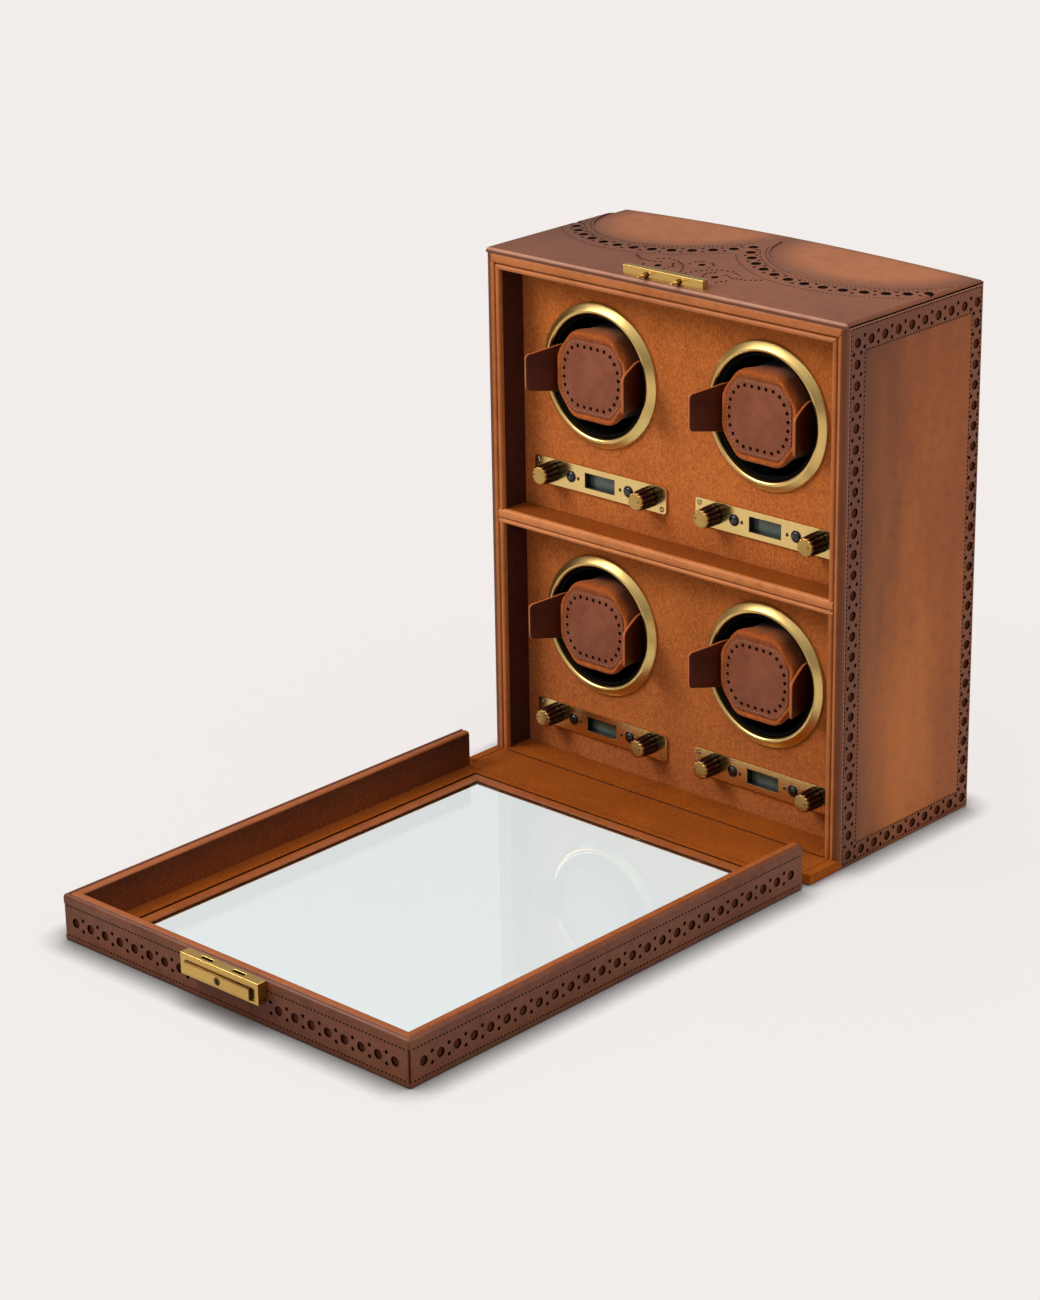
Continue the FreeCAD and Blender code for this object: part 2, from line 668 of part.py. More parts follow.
def lid_frame():
    """The open tray of the lid: a frame for the glass and three walls, none at the hinge."""
    tray = box(-SIDE, SIDE, LID_NEAR, LID_FAR, 0, LID_HEIGHT)
    inside = SIDE - LID_WALL
    y_wall = LID_NEAR + LID_WALL
    cuts = [
        box(-inside, inside, y_wall, LID_FAR + 1, LID_FRAME, LID_HEIGHT + 1),
        box(-GLASS_X, GLASS_X, GLASS_NEAR, GLASS_FAR, LIP_Z, LID_FRAME + 1),
    ]
    x = GLASS_X - LID_BEAD
    cuts.append(box(-x, x, GLASS_NEAR + LID_BEAD, GLASS_FAR - LID_BEAD, -1, LID_FRAME))
    leaf_top = HINGE_Z - KNUCKLE_R + LEAF_THICK
    x = HINGE_LENGTH / 2 + 0.3
    cuts.append(box(-x, x, LID_FAR - LEAF_WIDTH, LID_FAR + 1, -1, leaf_top))
    bead = inside + BEAD
    low = LID_HEIGHT - GROOVE
    y_bead = y_wall - BEAD
    outer = box(-bead - GROOVE, bead + GROOVE, y_bead - GROOVE, LID_FAR + 1, low, LID_HEIGHT + 1)
    cuts.append(outer.cut(box(-bead, bead, y_bead, LID_FAR + 2, low - 1, LID_HEIGHT + 2)))
    return cut_all(tray, cuts)


def lid_glass():
    x = GLASS_X - GLASS_PLAY
    return box(-x, x, GLASS_NEAR + GLASS_PLAY, GLASS_FAR - GLASS_PLAY, LIP_Z, GLASS_TOP)


def lid_bead():
    """The covered bead that holds the glass down and slopes towards it."""
    def rectangle(inset, z):
        x = GLASS_X - inset
        y0 = GLASS_NEAR + inset
        y1 = GLASS_FAR - inset
        corners = [(-x, y0), (x, y0), (x, y1), (-x, y1)]
        return [FreeCAD.Vector(px, py, z) for px, py in corners]

    top = LID_FRAME - 0.4
    section = [
        (0.6, GLASS_TOP),
        (0.6, top),
        (2.2, top),
        (LID_BEAD, GLASS_TOP + 0.9),
        (LID_BEAD, GLASS_TOP),
    ]
    return skin([rectangle(inset, z) for inset, z in section], closed=True)


def knuckle_spans(first):
    """The ends of every other knuckle along the hinge, counted from the first given."""
    pitch = HINGE_LENGTH / KNUCKLES
    spans = []
    for i in range(first, KNUCKLES, 2):
        start = -HINGE_LENGTH / 2 + i * pitch
        spans.append((start + KNUCKLE_GAP / 2, start + pitch - KNUCKLE_GAP / 2))
    return spans


def hinge_bar(radius, sides, x0, x1):
    corners = []
    for i in range(sides):
        angle = 2 * math.pi * (i + 0.5) / sides
        y = HINGE_Y + radius * math.cos(angle)
        corners.append(FreeCAD.Vector(x0, y, HINGE_Z + radius * math.sin(angle)))
    return flat(corners).extrude(FreeCAD.Vector(x1 - x0, 0, 0))


def knuckle_notches(first):
    """Clearance in a leaf for the other leaf's knuckles."""
    reach = KNUCKLE_R + 0.2
    notches = []
    for x0, x1 in knuckle_spans(first):
        left = x0 - KNUCKLE_GAP
        right = x1 + KNUCKLE_GAP
        y1 = HINGE_Y + reach + 1
        notches.append(box(left, right, HINGE_Y - reach, y1, HINGE_Z - reach, HINGE_Z + reach))
    return notches


def hinge_leaf_base():
    """The leaf on the front of the flap, with its knuckles and the pin through all of them."""
    x = HINGE_LENGTH / 2
    leaf = box(-x, x, FLAP_Y - LEAF_THICK, FLAP_Y, HINGE_Z, BASE_THICK - 0.6)
    leaf = cut_all(leaf, knuckle_notches(0))
    knuckles = [hinge_bar(KNUCKLE_R, 12, x0, x1) for x0, x1 in knuckle_spans(1)]
    place = FreeCAD.Vector(-x - PIN_HEAD, HINGE_Y, HINGE_Z)
    head = Part.makeCylinder(PIN_HEAD_R, PIN_HEAD, place, FreeCAD.Vector(1, 0, 0))
    return fuse([leaf, head, hinge_bar(PIN_R, 8, -x, x)] + knuckles)


def hinge_leaf_lid():
    """The leaf let in under the lid, with the knuckles that turn on the pin."""
    x = HINGE_LENGTH / 2
    z0 = HINGE_Z - KNUCKLE_R
    leaf = box(-x, x, LID_FAR - LEAF_WIDTH + 0.5, HINGE_Y, z0, z0 + LEAF_THICK)
    leaf = cut_all(leaf, knuckle_notches(1))
    knuckles = [hinge_bar(KNUCKLE_R, 12, x0, x1) for x0, x1 in knuckle_spans(0)]
    bore = hinge_bar((PIN_R + RUNNING) / math.cos(math.pi / 8), 8, -x - 1, x + 1)
    return fuse([leaf] + knuckles).cut(bore)


# Lock

def lock_case():
    """The brass case on the lid's near wall: hollow, slotted for the hooks, tracked for the bar."""
    case = box(-LOCK_W / 2, LOCK_W / 2, LOCK_FACE, LID_NEAR, LOCK_LOW, LID_HEIGHT)
    inside = LOCK_W / 2 - 2 * LOCK_WALL
    y0 = LOCK_FACE + LOCK_WALL
    z1 = LID_HEIGHT - LOCK_WALL
    cuts = [box(-inside, inside, y0, LID_NEAR + 1, LOCK_LOW + LOCK_WALL, z1)]
    hook_y = LID_NEAR - HOOK_RISE
    y0 = hook_y - HOOK_SLOT / 2
    y1 = hook_y + HOOK_SLOT / 2
    half = HOOK_W / 2 + 0.6
    for x in (-HOOK_X, HOOK_X):
        cuts.append(box(x - half, x + half, y0, y1, z1 - 1, LID_HEIGHT + 1))
    low = BAR_LOW - BAR_PLAY
    high = BAR_LOW + BAR_H + BAR_PLAY
    y1 = LOCK_FACE + BAR_SEAT + 0.1
    cuts.append(box(BAR_LEFT - 0.3, BAR_RIGHT + BAR_TRAVEL + 0.3, LOCK_FACE - 1, y1, low, high))
    half = NECK_W / 2 + 0.5
    low = BAR_LOW + NECK_INSET - BAR_PLAY
    high = BAR_LOW + BAR_H - NECK_INSET + BAR_PLAY
    cuts.append(box(-half, half + BAR_TRAVEL, LOCK_FACE - 1, LOCK_FACE + 3, low, high))
    return cut_all(case, cuts)


def lock_bar():
    """The sliding bar in the case's face, with the latch plate that it carries inside."""
    front = LOCK_FACE - BAR_PROUD
    outer = [(BAR_LEFT, BAR_LOW), (BAR_RIGHT, BAR_LOW), (BAR_RIGHT, BAR_LOW + BAR_H),
             (BAR_LEFT, BAR_LOW + BAR_H)]
    middle_x = (BAR_LEFT + BAR_RIGHT) / 2

    def ring(inset, y):
        corners = []
        for x, z in outer:
            x -= math.copysign(inset, x - middle_x)
            z -= math.copysign(inset, z - BAR_MIDDLE_Z)
            corners.append(FreeCAD.Vector(x, y, z))
        return corners

    face = skin([ring(0.6, front), ring(0.0, front + 0.6), ring(0.0, LOCK_FACE + BAR_SEAT)])
    inner = LOCK_FACE + LOCK_WALL + 0.2
    low = BAR_LOW + NECK_INSET
    high = BAR_LOW + BAR_H - NECK_INSET
    neck = box(-NECK_W / 2, NECK_W / 2, LOCK_FACE, inner + LATCH_THICK / 2, low, high)
    low = BAR_LOW + 0.6
    high = BAR_LOW + BAR_H - 0.6
    plate = box(-LATCH_W / 2, LATCH_W / 2, inner, inner + LATCH_THICK, low, high)
    bore = hole(0, BAR_MIDDLE_Z, KEY_R + RUNNING, 16, front - 1 - FRONT, LID_NEAR - FRONT)
    return fuse([face, neck, plate]).cut(bore)


def lock_cylinder():
    """The key cylinder in the bar's middle, with its keyhole."""
    front = LOCK_FACE - BAR_PROUD - 0.2
    back = LOCK_FACE + LOCK_WALL + 1.2
    core = rod(0, BAR_MIDDLE_Z, KEY_R, front - FRONT, back - FRONT)
    z1 = BAR_MIDDLE_Z + KEYHOLE_W
    slit = box(-KEYHOLE_W / 2, KEYHOLE_W / 2, front - 1, front + KEYHOLE_DEEP, z1 - KEYHOLE_H, z1)
    return core.cut(slit)


def strike_plate():
    """The brass block on the cabinet's top edge, with the two hooks that enter the lock."""
    front = FRONT + STRIKE_SETBACK
    z = TOP + HOOK_RISE
    pieces = [strike_body()]
    for x in (-HOOK_X, HOOK_X):
        pieces.append(box(x - HOOK_W / 2, x + HOOK_W / 2, front - HOOK_REACH, front + 1,
                          z - HOOK_THICK / 2, z + HOOK_THICK / 2))
    return fuse(pieces)


def save_units():
    """Write the four units: fixed pieces together by kind, moving pieces one by one."""
    fixed = {
        "bezel_rings": [], "gear_motors": [], "control_plates": [],
        "control_modules": [], "displays": [],
    }
    for name, x, floor in UNITS:
        z = floor + UNIT_RISE
        fixed["bezel_rings"].append(bezel_ring(x, z))
        fixed["gear_motors"].append(gear_motor(x, z))
        save("drum_" + name, [drum(x, z)])
        save("pinion_" + name, [pinion(x, z)])
        save("cuff_" + name, [cuff(x, z)])
        save("cuff_wings_" + name, [wing(x, z, -1), wing(x, z, 1)])
        z = floor + PLATE_RISE
        fixed["control_plates"].append(control_plate(x, z))
        fixed["control_modules"].append(control_module(x, z))
        fixed["displays"].append(display(x, z))
        for hand, side in (("left", -1), ("right", 1)):
            save("knob_" + name + "_" + hand, [knob(x + side * KNOB_X, z)])
            save("button_" + name + "_" + hand, [button(x + side * BUTTON_X, z)])
    for name, solids in fixed.items():
        save(name, solids)


def save_all():
    save("carcass", [carcass()])
    save("base_board", [base_board()])
    save("mid_shelf", [mid_shelf()])
    save("side_leather", side_leather())
    save("top_leather", [top_leather()])
    save("top_overlay", [top_overlay()])
    save("front_rim", [front_rim()])
    save("recess_lining", recess_lining())
    save("face_panels", face_panels())
    save("back_panel", [back_panel()])
    save("power_inlet", [power_inlet()])
    save("drive_bridge", [drive_bridge()])
    save_units()
    save("lid_frame", [lid_frame()])
    save("lid_glass", [lid_glass()])
    save("lid_bead", [lid_bead()])
    save("hinge_leaf_base", [hinge_leaf_base()])
    save("hinge_leaf_lid", [hinge_leaf_lid()])
    save("lock_case", [lock_case()])
    save("lock_bar", [lock_bar()])
    save("lock_cylinder", [lock_cylinder()])
    save("strike_plate", [strike_plate()])


save_all()
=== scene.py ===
# %% [markdown]
# # A leather watch winder, dressed from its frame
#
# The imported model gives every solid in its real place. This lesson hides most of those solids one by one and
# puts a finished piece where each was: punched leather with real holes, padded suede, turned brass. Lengths are
# written in millimetres, and depths are counted from the face of the front rim towards the back.

# %% The frame
import json
import math

import bmesh
import bpy
import numpy as np
from mathutils import Matrix, Vector


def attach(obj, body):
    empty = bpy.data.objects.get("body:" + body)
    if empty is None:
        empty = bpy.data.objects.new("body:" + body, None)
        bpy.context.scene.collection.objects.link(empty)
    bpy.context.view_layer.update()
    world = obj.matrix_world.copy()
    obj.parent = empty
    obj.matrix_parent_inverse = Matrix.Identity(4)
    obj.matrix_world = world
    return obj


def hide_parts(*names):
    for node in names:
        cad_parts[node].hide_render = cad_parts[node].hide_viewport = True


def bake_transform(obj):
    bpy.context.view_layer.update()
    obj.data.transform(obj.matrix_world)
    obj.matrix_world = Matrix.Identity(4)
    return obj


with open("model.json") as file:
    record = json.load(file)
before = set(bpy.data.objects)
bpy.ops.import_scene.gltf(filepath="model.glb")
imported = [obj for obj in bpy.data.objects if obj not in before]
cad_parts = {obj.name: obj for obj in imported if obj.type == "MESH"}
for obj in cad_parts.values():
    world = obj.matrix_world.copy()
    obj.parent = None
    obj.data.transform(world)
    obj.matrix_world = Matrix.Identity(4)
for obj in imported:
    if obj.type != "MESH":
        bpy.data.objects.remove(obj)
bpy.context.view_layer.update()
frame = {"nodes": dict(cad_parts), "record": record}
scene = bpy.context.scene
MM = 0.001

# %% Main sizes
FRONT = -77.5          # y of the rim's face
BACK = 77.5
SIDE = 165.0           # half width
TOP = 398.5
SKIN = 1.5             # leather on a board
FLOOR = 7.5            # top of the base board
OPEN_X = 153.0         # half width of a compartment
OPEN_TOP = 384.0
RIM = 4.0              # thickness of the front rim
PANEL = 26.0           # depth of the suede panels
UNIT_X = 77.7
UNITS = {"upper_left": (-UNIT_X, 200.5), "upper_right": (UNIT_X, 200.5),
         "lower_left": (-UNIT_X, FLOOR), "lower_right": (UNIT_X, FLOOR)}
AXIS_RISE = 112.0      # from a compartment's floor to the drum's axis
PLATE_RISE = 30.0      # from the floor to the middle of a control plate
HOLLOW_X, HOLLOW_D, HOLLOW_R = 83.3, 149.0, 81.8     # the hollows in the toe cap's back edge
LID_NEAR = -507.0
LID_FAR = -116.8
LID_WALL = 10.0
HANDS = ((-1, "left"), (1, "right"))


def at(x, depth, z):
    """A place in millimetres, this deep behind the rim's face."""
    return Vector((x, FRONT + depth, z))


# %% [markdown]
# ## Camera
#
# The camera was worked out beforehand from the corners of the cabinet and the lid in the photograph. Its place,
# its direction and its small roll are plain numbers. The photograph is 1040 by 1300 pixels.

# %% Camera
PHOTO_H = 1300
FOCAL_PIXELS = 3451.5
SENSOR = 36.0
EYE = Vector((1.5227, -1.8477, 1.0189))
TURN, DIP, LEAN = (math.radians(a) for a in (43.17, 20.89, -0.99))


def camera_axes():
    ahead = Vector((-math.sin(TURN) * math.cos(DIP), math.cos(TURN) * math.cos(DIP), -math.sin(DIP)))
    right = ahead.cross(Vector((0, 0, 1))).normalized()
    up = right.cross(ahead)
    c, s = math.cos(LEAN), math.sin(LEAN)
    return c * right + s * up, c * up - s * right, -ahead


camera_data = bpy.data.cameras.new("camera")
camera_data.sensor_fit = "VERTICAL"
camera_data.sensor_height = SENSOR
camera_data.lens = FOCAL_PIXELS * SENSOR / PHOTO_H
camera = bpy.data.objects.new("camera", camera_data)
scene.collection.objects.link(camera)
camera.matrix_world = Matrix.Translation(EYE) @ Matrix(camera_axes()).transposed().to_4x4()
scene.camera = camera
scene.view_settings.view_transform = "Standard"
print("lens", round(camera_data.lens, 2), "mm")


# %% [markdown]
# ## Working with node trees
#
# Every material is built from nodes. Wire wraps one socket, so that masks can be written as sums and products.
# Nodes wraps a tree, and its add method makes any node. Surface is the tree of one material with its shader.

# %% Wire
class Wire:
    """A socket that can be used in sums and products."""

    def __init__(self, nodes, socket):
        self.nodes = nodes
        self.socket = socket

    def math(self, operation, *inputs):
        return self.nodes.add("ShaderNodeMath", {"operation": operation}, inputs)

    def __rsub__(self, other):
        return self.math("SUBTRACT", other, self)

    def ramp(self, low, high):
        """0 at low, 1 at high, and smooth between."""
        settings = {"interpolation_type": "SMOOTHSTEP"}
        return self.nodes.add("ShaderNodeMapRange", settings, {"Value": self, "From Min": low, "From Max": high})

    def part(self, axis):
        return self.nodes.add("ShaderNodeSeparateXYZ", {}, [self], axis)

    def stretched(self, x, y, z):
        return self.nodes.add("ShaderNodeVectorMath", {"operation": "MULTIPLY"}, [self, (x, y, z)])


OPERATIONS = {"__add__": "ADD", "__radd__": "ADD", "__sub__": "SUBTRACT", "__mul__": "MULTIPLY",
              "__rmul__": "MULTIPLY", "__truediv__": "DIVIDE", "__pow__": "POWER", "least": "MINIMUM",
              "most": "MAXIMUM"}
for method, operation in OPERATIONS.items():
    setattr(Wire, method, lambda self, other, operation=operation: self.math(operation, self, other))


# %% Nodes and Surface
class Nodes:
    """The node tree of a material or a world."""

    def __init__(self, owner):
        owner.use_nodes = True
        self.tree = owner.node_tree

    def add(self, kind, settings, inputs, output=0):
        node = self.tree.nodes.new(kind)
        for key, value in settings.items():
            setattr(node, key, value)
        pairs = inputs.items() if isinstance(inputs, dict) else enumerate(inputs)
        for key, value in pairs:
            if isinstance(value, Wire):
                self.tree.links.new(value.socket, node.inputs[key])
            else:
                node.inputs[key].default_value = value
        return Wire(self, node.outputs[output])

    def ray(self, kind):
        return self.add("ShaderNodeLightPath", {}, [], kind)

    def show(self, share, one, other, output):
        """End the tree in a mix of two shaders."""
        both = self.add("ShaderNodeMixShader", {}, [share, one, other])
        self.tree.links.new(both.socket, self.tree.nodes[output].inputs["Surface"])


class Surface(Nodes):
    """One material: a Principled shader, its constants, and what feeds it."""

    def __init__(self, name, **constants):
        self.material = bpy.data.materials.new(name)
        super().__init__(self.material)
        self.shader = self.tree.nodes["Principled BSDF"]
        for key, value in constants.items():
            self.shader.inputs[key.replace("_", " ")].default_value = value

    def place(self):
        """The point's place in the piece's own metres, which moves with the piece."""
        return self.add("ShaderNodeTexCoord", {}, [], "Object")

    def noise(self, place, scale, detail=3.0, roughness=0.5):
        return self.add("ShaderNodeTexNoise", {}, {"Vector": place, "Scale": scale, "Detail": detail,
                                                   "Roughness": roughness})

    def cells(self, place, scale):
        return self.add("ShaderNodeTexVoronoi", {}, {"Vector": place, "Scale": scale})

    def mix(self, one, other, share):
        return self.add("ShaderNodeMix", {"data_type": "RGBA"}, {0: share, 6: one, 7: other}, 2)

    def feed(self, **wires):
        for key, wire in wires.items():
            self.tree.links.new(wire.socket, self.shader.inputs[key.replace("_", " ")])
        return self.material

    def bump(self, height, depth, strength=1.0):
        """A Bump whose height of 1 stands this many millimetres proud."""
        return self.add("ShaderNodeBump", {}, {"Height": height, "Distance": depth * MM, "Strength": strength})

    def over(self, share, other):
        """Show another shader over this share of the Principled one."""
        self.show(share, Wire(self, self.shader.outputs[0]), other, "Material Output")
        return self.material


def rgb(red, green, blue):
    """A colour as the eye names it, 0 to 255, in the linear values that shaders use."""
    linear = [(c / 255 / 12.92) if c <= 10 else ((c / 255 + 0.055) / 1.055) ** 2.4 for c in (red, green, blue)]
    return (*linear, 1.0)


# %% [markdown]
# ## Leather
#
# Burnished calf has broad clouds of dye, a fine mottle, a pebble grain well under a millimetre, and edges that are
# rubbed dark. The rub is measured from the sides of the piece's own box, so each piece is dark where its own edges
# are. A border can have its own colour, or a band can carry a painted highlight along an edge, and a round field
# can darken towards its rim.

# %% Leather recipe
MOTTLE, FINE, PEBBLE = 110.0, 900.0, 1150.0        # features to a metre


def edge_distance(place, box, axes):
    """Metres from the nearest side of the box, looking along these axes only."""
    low, high = box
    nearest = None
    for axis in axes:
        here = place.part(axis)
        for gap in (here - low[axis] * MM, high[axis] * MM - here):
            nearest = nearest.least(gap) if nearest else gap
    return nearest


def leather(name, deep, mid, pale, box=None, axes=(), rub=30.0, rubbed=1.0, gloss=0.42, cloud=7.0, fades=(),
            stretch=(1.0, 1.0, 1.0), bands=(), hollows=(), speckle=0.8, specular=0.20):
    """Burnished leather. Places are in millimetres, and speckle is the share of the fine mottle.

    fades are (axis, dark from, light to, amount). bands are (low, high, axes, colour, share) and colour what
    lies outside their box. hollows are (x, y, light to, dark from) rounds that are dark at their rims.
    """
    s = Surface(name, Specular_IOR_Level=specular, Coat_Roughness=0.30)
    place = s.place()
    clouds = s.noise(place.stretched(*stretch), cloud, 3.0, 0.5)
    mottle = s.noise(place, MOTTLE, 5.0, 0.65)
    fine = s.noise(place, FINE, 2.0)
    tone = clouds * (1 - 0.4 * speckle) + mottle * (0.4 * speckle)
    colour = s.mix(mid, pale, tone.ramp(0.30, 0.70))
    if box:
        gap = edge_distance(place, box, axes) + ((clouds - 0.5) * 0.7 + (mottle - 0.5) * 0.3) * (rub * MM)
        colour = s.mix(colour, deep, (1.0 - gap.ramp(0.0, rub * MM)) * rubbed)
    for axis, dark, light, amount in fades:
        here = place.part(axis) + (clouds - 0.5) * 0.05
        share = (here - dark * MM) / ((light - dark) * MM)
        colour = s.mix(colour, deep, (1.0 - share.ramp(0.0, 1.0)) * amount)
    shade = None
    for x, y, light, dark in hollows:
        dx, dy = place.part(0) - x * MM, place.part(1) - y * MM
        away = ((dx * dx + dy * dy) ** 0.5 + (clouds - 0.5) * 0.02).ramp(light * MM, dark * MM)
        shade = shade * away if shade else away
    if shade:
        colour = s.mix(colour, deep, shade * 0.85)
    for low, high, axes, tint, share in bands:
        outside = 1.0 - edge_distance(place, (low, high), axes).ramp(-0.0003, 0.0003)
        colour = s.mix(colour, tint, outside * share)
    colour = s.mix(colour, deep, (1.0 - mottle.ramp(0.34, 0.52)) * (0.16 * speckle) + (fine - 0.5).most(0.0) * 0.7)
    height = s.cells(place, PEBBLE) * 0.5 + fine * 0.5
    shine = gloss + (fine - 0.5) * 0.16 + (mottle - 0.5) * 0.16
    return s.feed(Base_Color=colour, Roughness=shine, Coat_Weight=tone.ramp(0.3, 0.8) * (0.4 * specular),
                  Normal=s.bump(height, 0.10))


# %% [markdown]
# ## Suede
#
# Suede is matt. What shows is the nap: patches that were brushed one way and look lighter, a short grain that runs
# across, and a little sheen. A fade darkens it along one axis, as painted shade.

# %% Suede recipe
NAP_LIES = (1.0, 1.0, 0.6)         # the grain is drawn out upwards
SUEDE_SHADOW = rgb(26, 9, 3)


def suede(name, dark, pale, patches=22.0, contrast=1.0, sheen=0.10, fade=None):
    """fade is painted shade, as (axis, dark from, light to, amount) in mm, darkening towards SUEDE_SHADOW."""
    s = Surface(name, Roughness=0.93, Specular_IOR_Level=0.08, Sheen_Weight=sheen, Sheen_Roughness=0.45)
    place = s.place()
    brushed = s.noise(place.stretched(*NAP_LIES), patches, 3.0, 0.6)
    nap = s.noise(place.stretched(*NAP_LIES), 900.0, 3.0, 0.7)
    mottle = s.noise(place, 260.0, 3.0, 0.6)
    tone = (brushed - 0.5) * 0.3 * contrast + (mottle - 0.5) * 0.25 + (nap - 0.5) * 1.2 + 0.5
    colour = s.mix(dark, pale, tone.ramp(0.05, 0.95))
    if fade:
        axis, deep, light, amount = fade
        share = (place.part(axis) - deep * MM) / ((light - deep) * MM)
        colour = s.mix(colour, SUEDE_SHADOW, (1.0 - share.ramp(0.0, 1.0)) * amount)
    return s.feed(Base_Color=colour, Normal=s.bump(nap * 0.7 + mottle * 0.6, 0.18, 0.9))


# %% [markdown]
# ## Metal, plastic, glass and board
#
# The brass is satin: fine scratches run along the plates and round the rings. A ring's scratches follow its
# radius, which is measured from the ring's own centre.

# %% Metal recipe
def metal(name, colour, worn, gloss=0.24, along=(1.0, 1.0, 1.0), ring=False, tarnish=0.2):
    s = Surface(name, Metallic=1.0)
    place = s.place()
    if ring:
        x, z = place.part(0), place.part(2)
        radius = (x * x + z * z) ** 0.5
        place = s.add("ShaderNodeCombineXYZ", {}, [radius, x * 0.02, z * 0.02])
    scratch = s.noise(place.stretched(*along), 2200.0, 2.0, 0.7)
    cloud = s.noise(s.place(), 30.0, 3.0)
    base = s.mix(colour, worn, cloud.ramp(0.42, 0.75) * tarnish + (scratch - 0.5).most(0.0) * 0.25)
    shine = gloss + (scratch - 0.5) * 0.10 + (cloud - 0.5) * 0.06
    return s.feed(Base_Color=base, Roughness=shine, Normal=s.bump(scratch, 0.004, 0.5))


# %% Plastic, wood and glass recipes
def plastic(name, colour, worn, gloss=0.4, coat=0.0, fine=0.03, specular=0.5):
    s = Surface(name, Specular_IOR_Level=specular, Coat_Roughness=0.10)
    place = s.place()
    skin = s.noise(place, 1500.0, 2.0)
    cloud = s.noise(place, 120.0, 3.0)
    base = s.mix(colour, worn, cloud.ramp(0.42, 0.8) * 0.5)
    return s.feed(Base_Color=base, Roughness=gloss + (skin - 0.5) * 0.15, Coat_Weight=cloud * 2 * coat,
                  Normal=s.bump(skin, fine))


def board(name, pale, dark):
    s = Surface(name, Roughness=0.7)
    place = s.place()
    rings = s.add("ShaderNodeTexWave", {"wave_type": "BANDS", "bands_direction": "X"},
                  {"Vector": place.stretched(1.0, 1.0, 0.12), "Scale": 90.0, "Distortion": 5.0, "Detail": 3.0})
    fibre = s.noise(place.stretched(1.0, 1.0, 0.05), 1800.0, 3.0)
    return s.feed(Base_Color=s.mix(pale, dark, rings * 0.6 + fibre * 0.3), Normal=s.bump(fibre, 0.05))


def clear_glass(name):
    """A clean pane. Light and shadow rays pass straight through, so the floor under it stays bright."""
    s = Surface(name, Transmission_Weight=1.0, IOR=1.30, Roughness=0.0)
    smear = s.noise(s.place(), 26.0, 2.0)
    s.feed(Base_Color=s.mix(rgb(242, 253, 255), rgb(240, 252, 255), smear))
    through = s.add("ShaderNodeBsdfTransparent", {}, [rgb(248, 252, 252)])
    return s.over(s.ray("Is Shadow Ray").most(s.ray("Is Diffuse Ray")), through)


# %% [markdown]
# ## Building tools
#
# Four small tools make nearly every piece: a mesh from plain lists, a turned piece, a copy of a CAD solid with
# its edges broken, and, in the next cell, a slab of leather with holes. A piece is made where it belongs, or
# round the origin and then moved onto its axis. It rides on a body.

# %% Meshes and placing
WELD = 2e-6            # points closer than this, in metres, become one


def new_piece(name, mesh, material, smooth=35.0):
    """An object from a mesh in metres, smooth except where it turns by more than the angle."""
    obj = bpy.data.objects.new(name, mesh)
    scene.collection.objects.link(obj)
    materials = material if isinstance(material, (list, tuple)) else [material]
    for each in materials:
        mesh.materials.append(each)
    mesh.polygons.foreach_set("use_smooth", [True] * len(mesh.polygons))
    mesh.set_sharp_from_angle(angle=math.radians(smooth))
    return obj


def mesh_of(name, points, faces, kinds=None, merge=True):
    """A mesh from points in millimetres. kinds gives each face's material number."""
    mesh = bpy.data.meshes.new(name)
    mesh.from_pydata([Vector(p) * MM for p in points], [], [list(f) for f in faces])
    if kinds is not None:
        mesh.polygons.foreach_set("material_index", kinds)
    work = bmesh.new()
    work.from_mesh(mesh)
    if merge:
        bmesh.ops.remove_doubles(work, verts=work.verts, dist=1e-6)
    bmesh.ops.recalc_face_normals(work, faces=work.faces)
    work.to_mesh(mesh)
    work.free()
    return mesh


def install(obj, body, slot, *nodes):
    """The piece rides on a body and stands for CAD nodes, which are hidden. slot is not used."""
    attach(obj, body)
    if nodes:
        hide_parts(*nodes)
    return obj


def rings_to_faces(rings, around, closed=False, wrap=True, caps=False):
    """Faces between rings of points that are numbered one after the other. caps closes both ends."""
    faces = []
    last = rings if closed else rings - 1
    turn = around if wrap else around - 1
    for i in range(last):
        for j in range(turn):
            a, b = i * around, ((i + 1) % rings) * around
            k = (j + 1) % around
            faces.append((a + j, a + k, b + k, b + j))
    if caps:
        faces += [tuple(range(around)), tuple(range((rings - 1) * around, rings * around))]
    return faces


def turned(section, sides=96, centre=(0, 0), closed=True):
    """A mesh turned round an axis along Y, from radius and depth pairs. An open section gets two caps."""
    angles = [2 * math.pi * i / sides for i in range(sides)]
    points = [at(centre[0] + radius * math.cos(a), depth, centre[1] + radius * math.sin(a))
              for radius, depth in section for a in angles]
    return mesh_of("turned", points, rings_to_faces(len(section), sides, closed, caps=not closed))


def moved(obj, x, z):
    """Put a piece that was made round the origin on an axis at x and z."""
    obj.location = Vector((x, 0, z)) * MM
    return obj


def fitted(name, mesh, material, smooth, body, slot, *nodes, x=0.0, z=0.0):
    """Make a piece, put its axis at x and z, and install it."""
    return install(moved(new_piece(name, mesh, material, smooth), x, z), body, slot, *nodes)


def finished(obj, *modifiers):
    """The object's mesh with modifiers applied, as a plain mesh."""
    for kind, settings in modifiers:
        modifier = obj.modifiers.new(kind.lower(), kind)
        for key, value in settings.items():
            setattr(modifier, key, value)
    graph = bpy.context.evaluated_depsgraph_get()
    mesh = bpy.data.meshes.new_from_object(obj.evaluated_get(graph), depsgraph=graph)
    old = obj.data
    obj.modifiers.clear()
    obj.data = mesh
    if isinstance(old, bpy.types.Mesh):
        bpy.data.meshes.remove(old)
    return obj


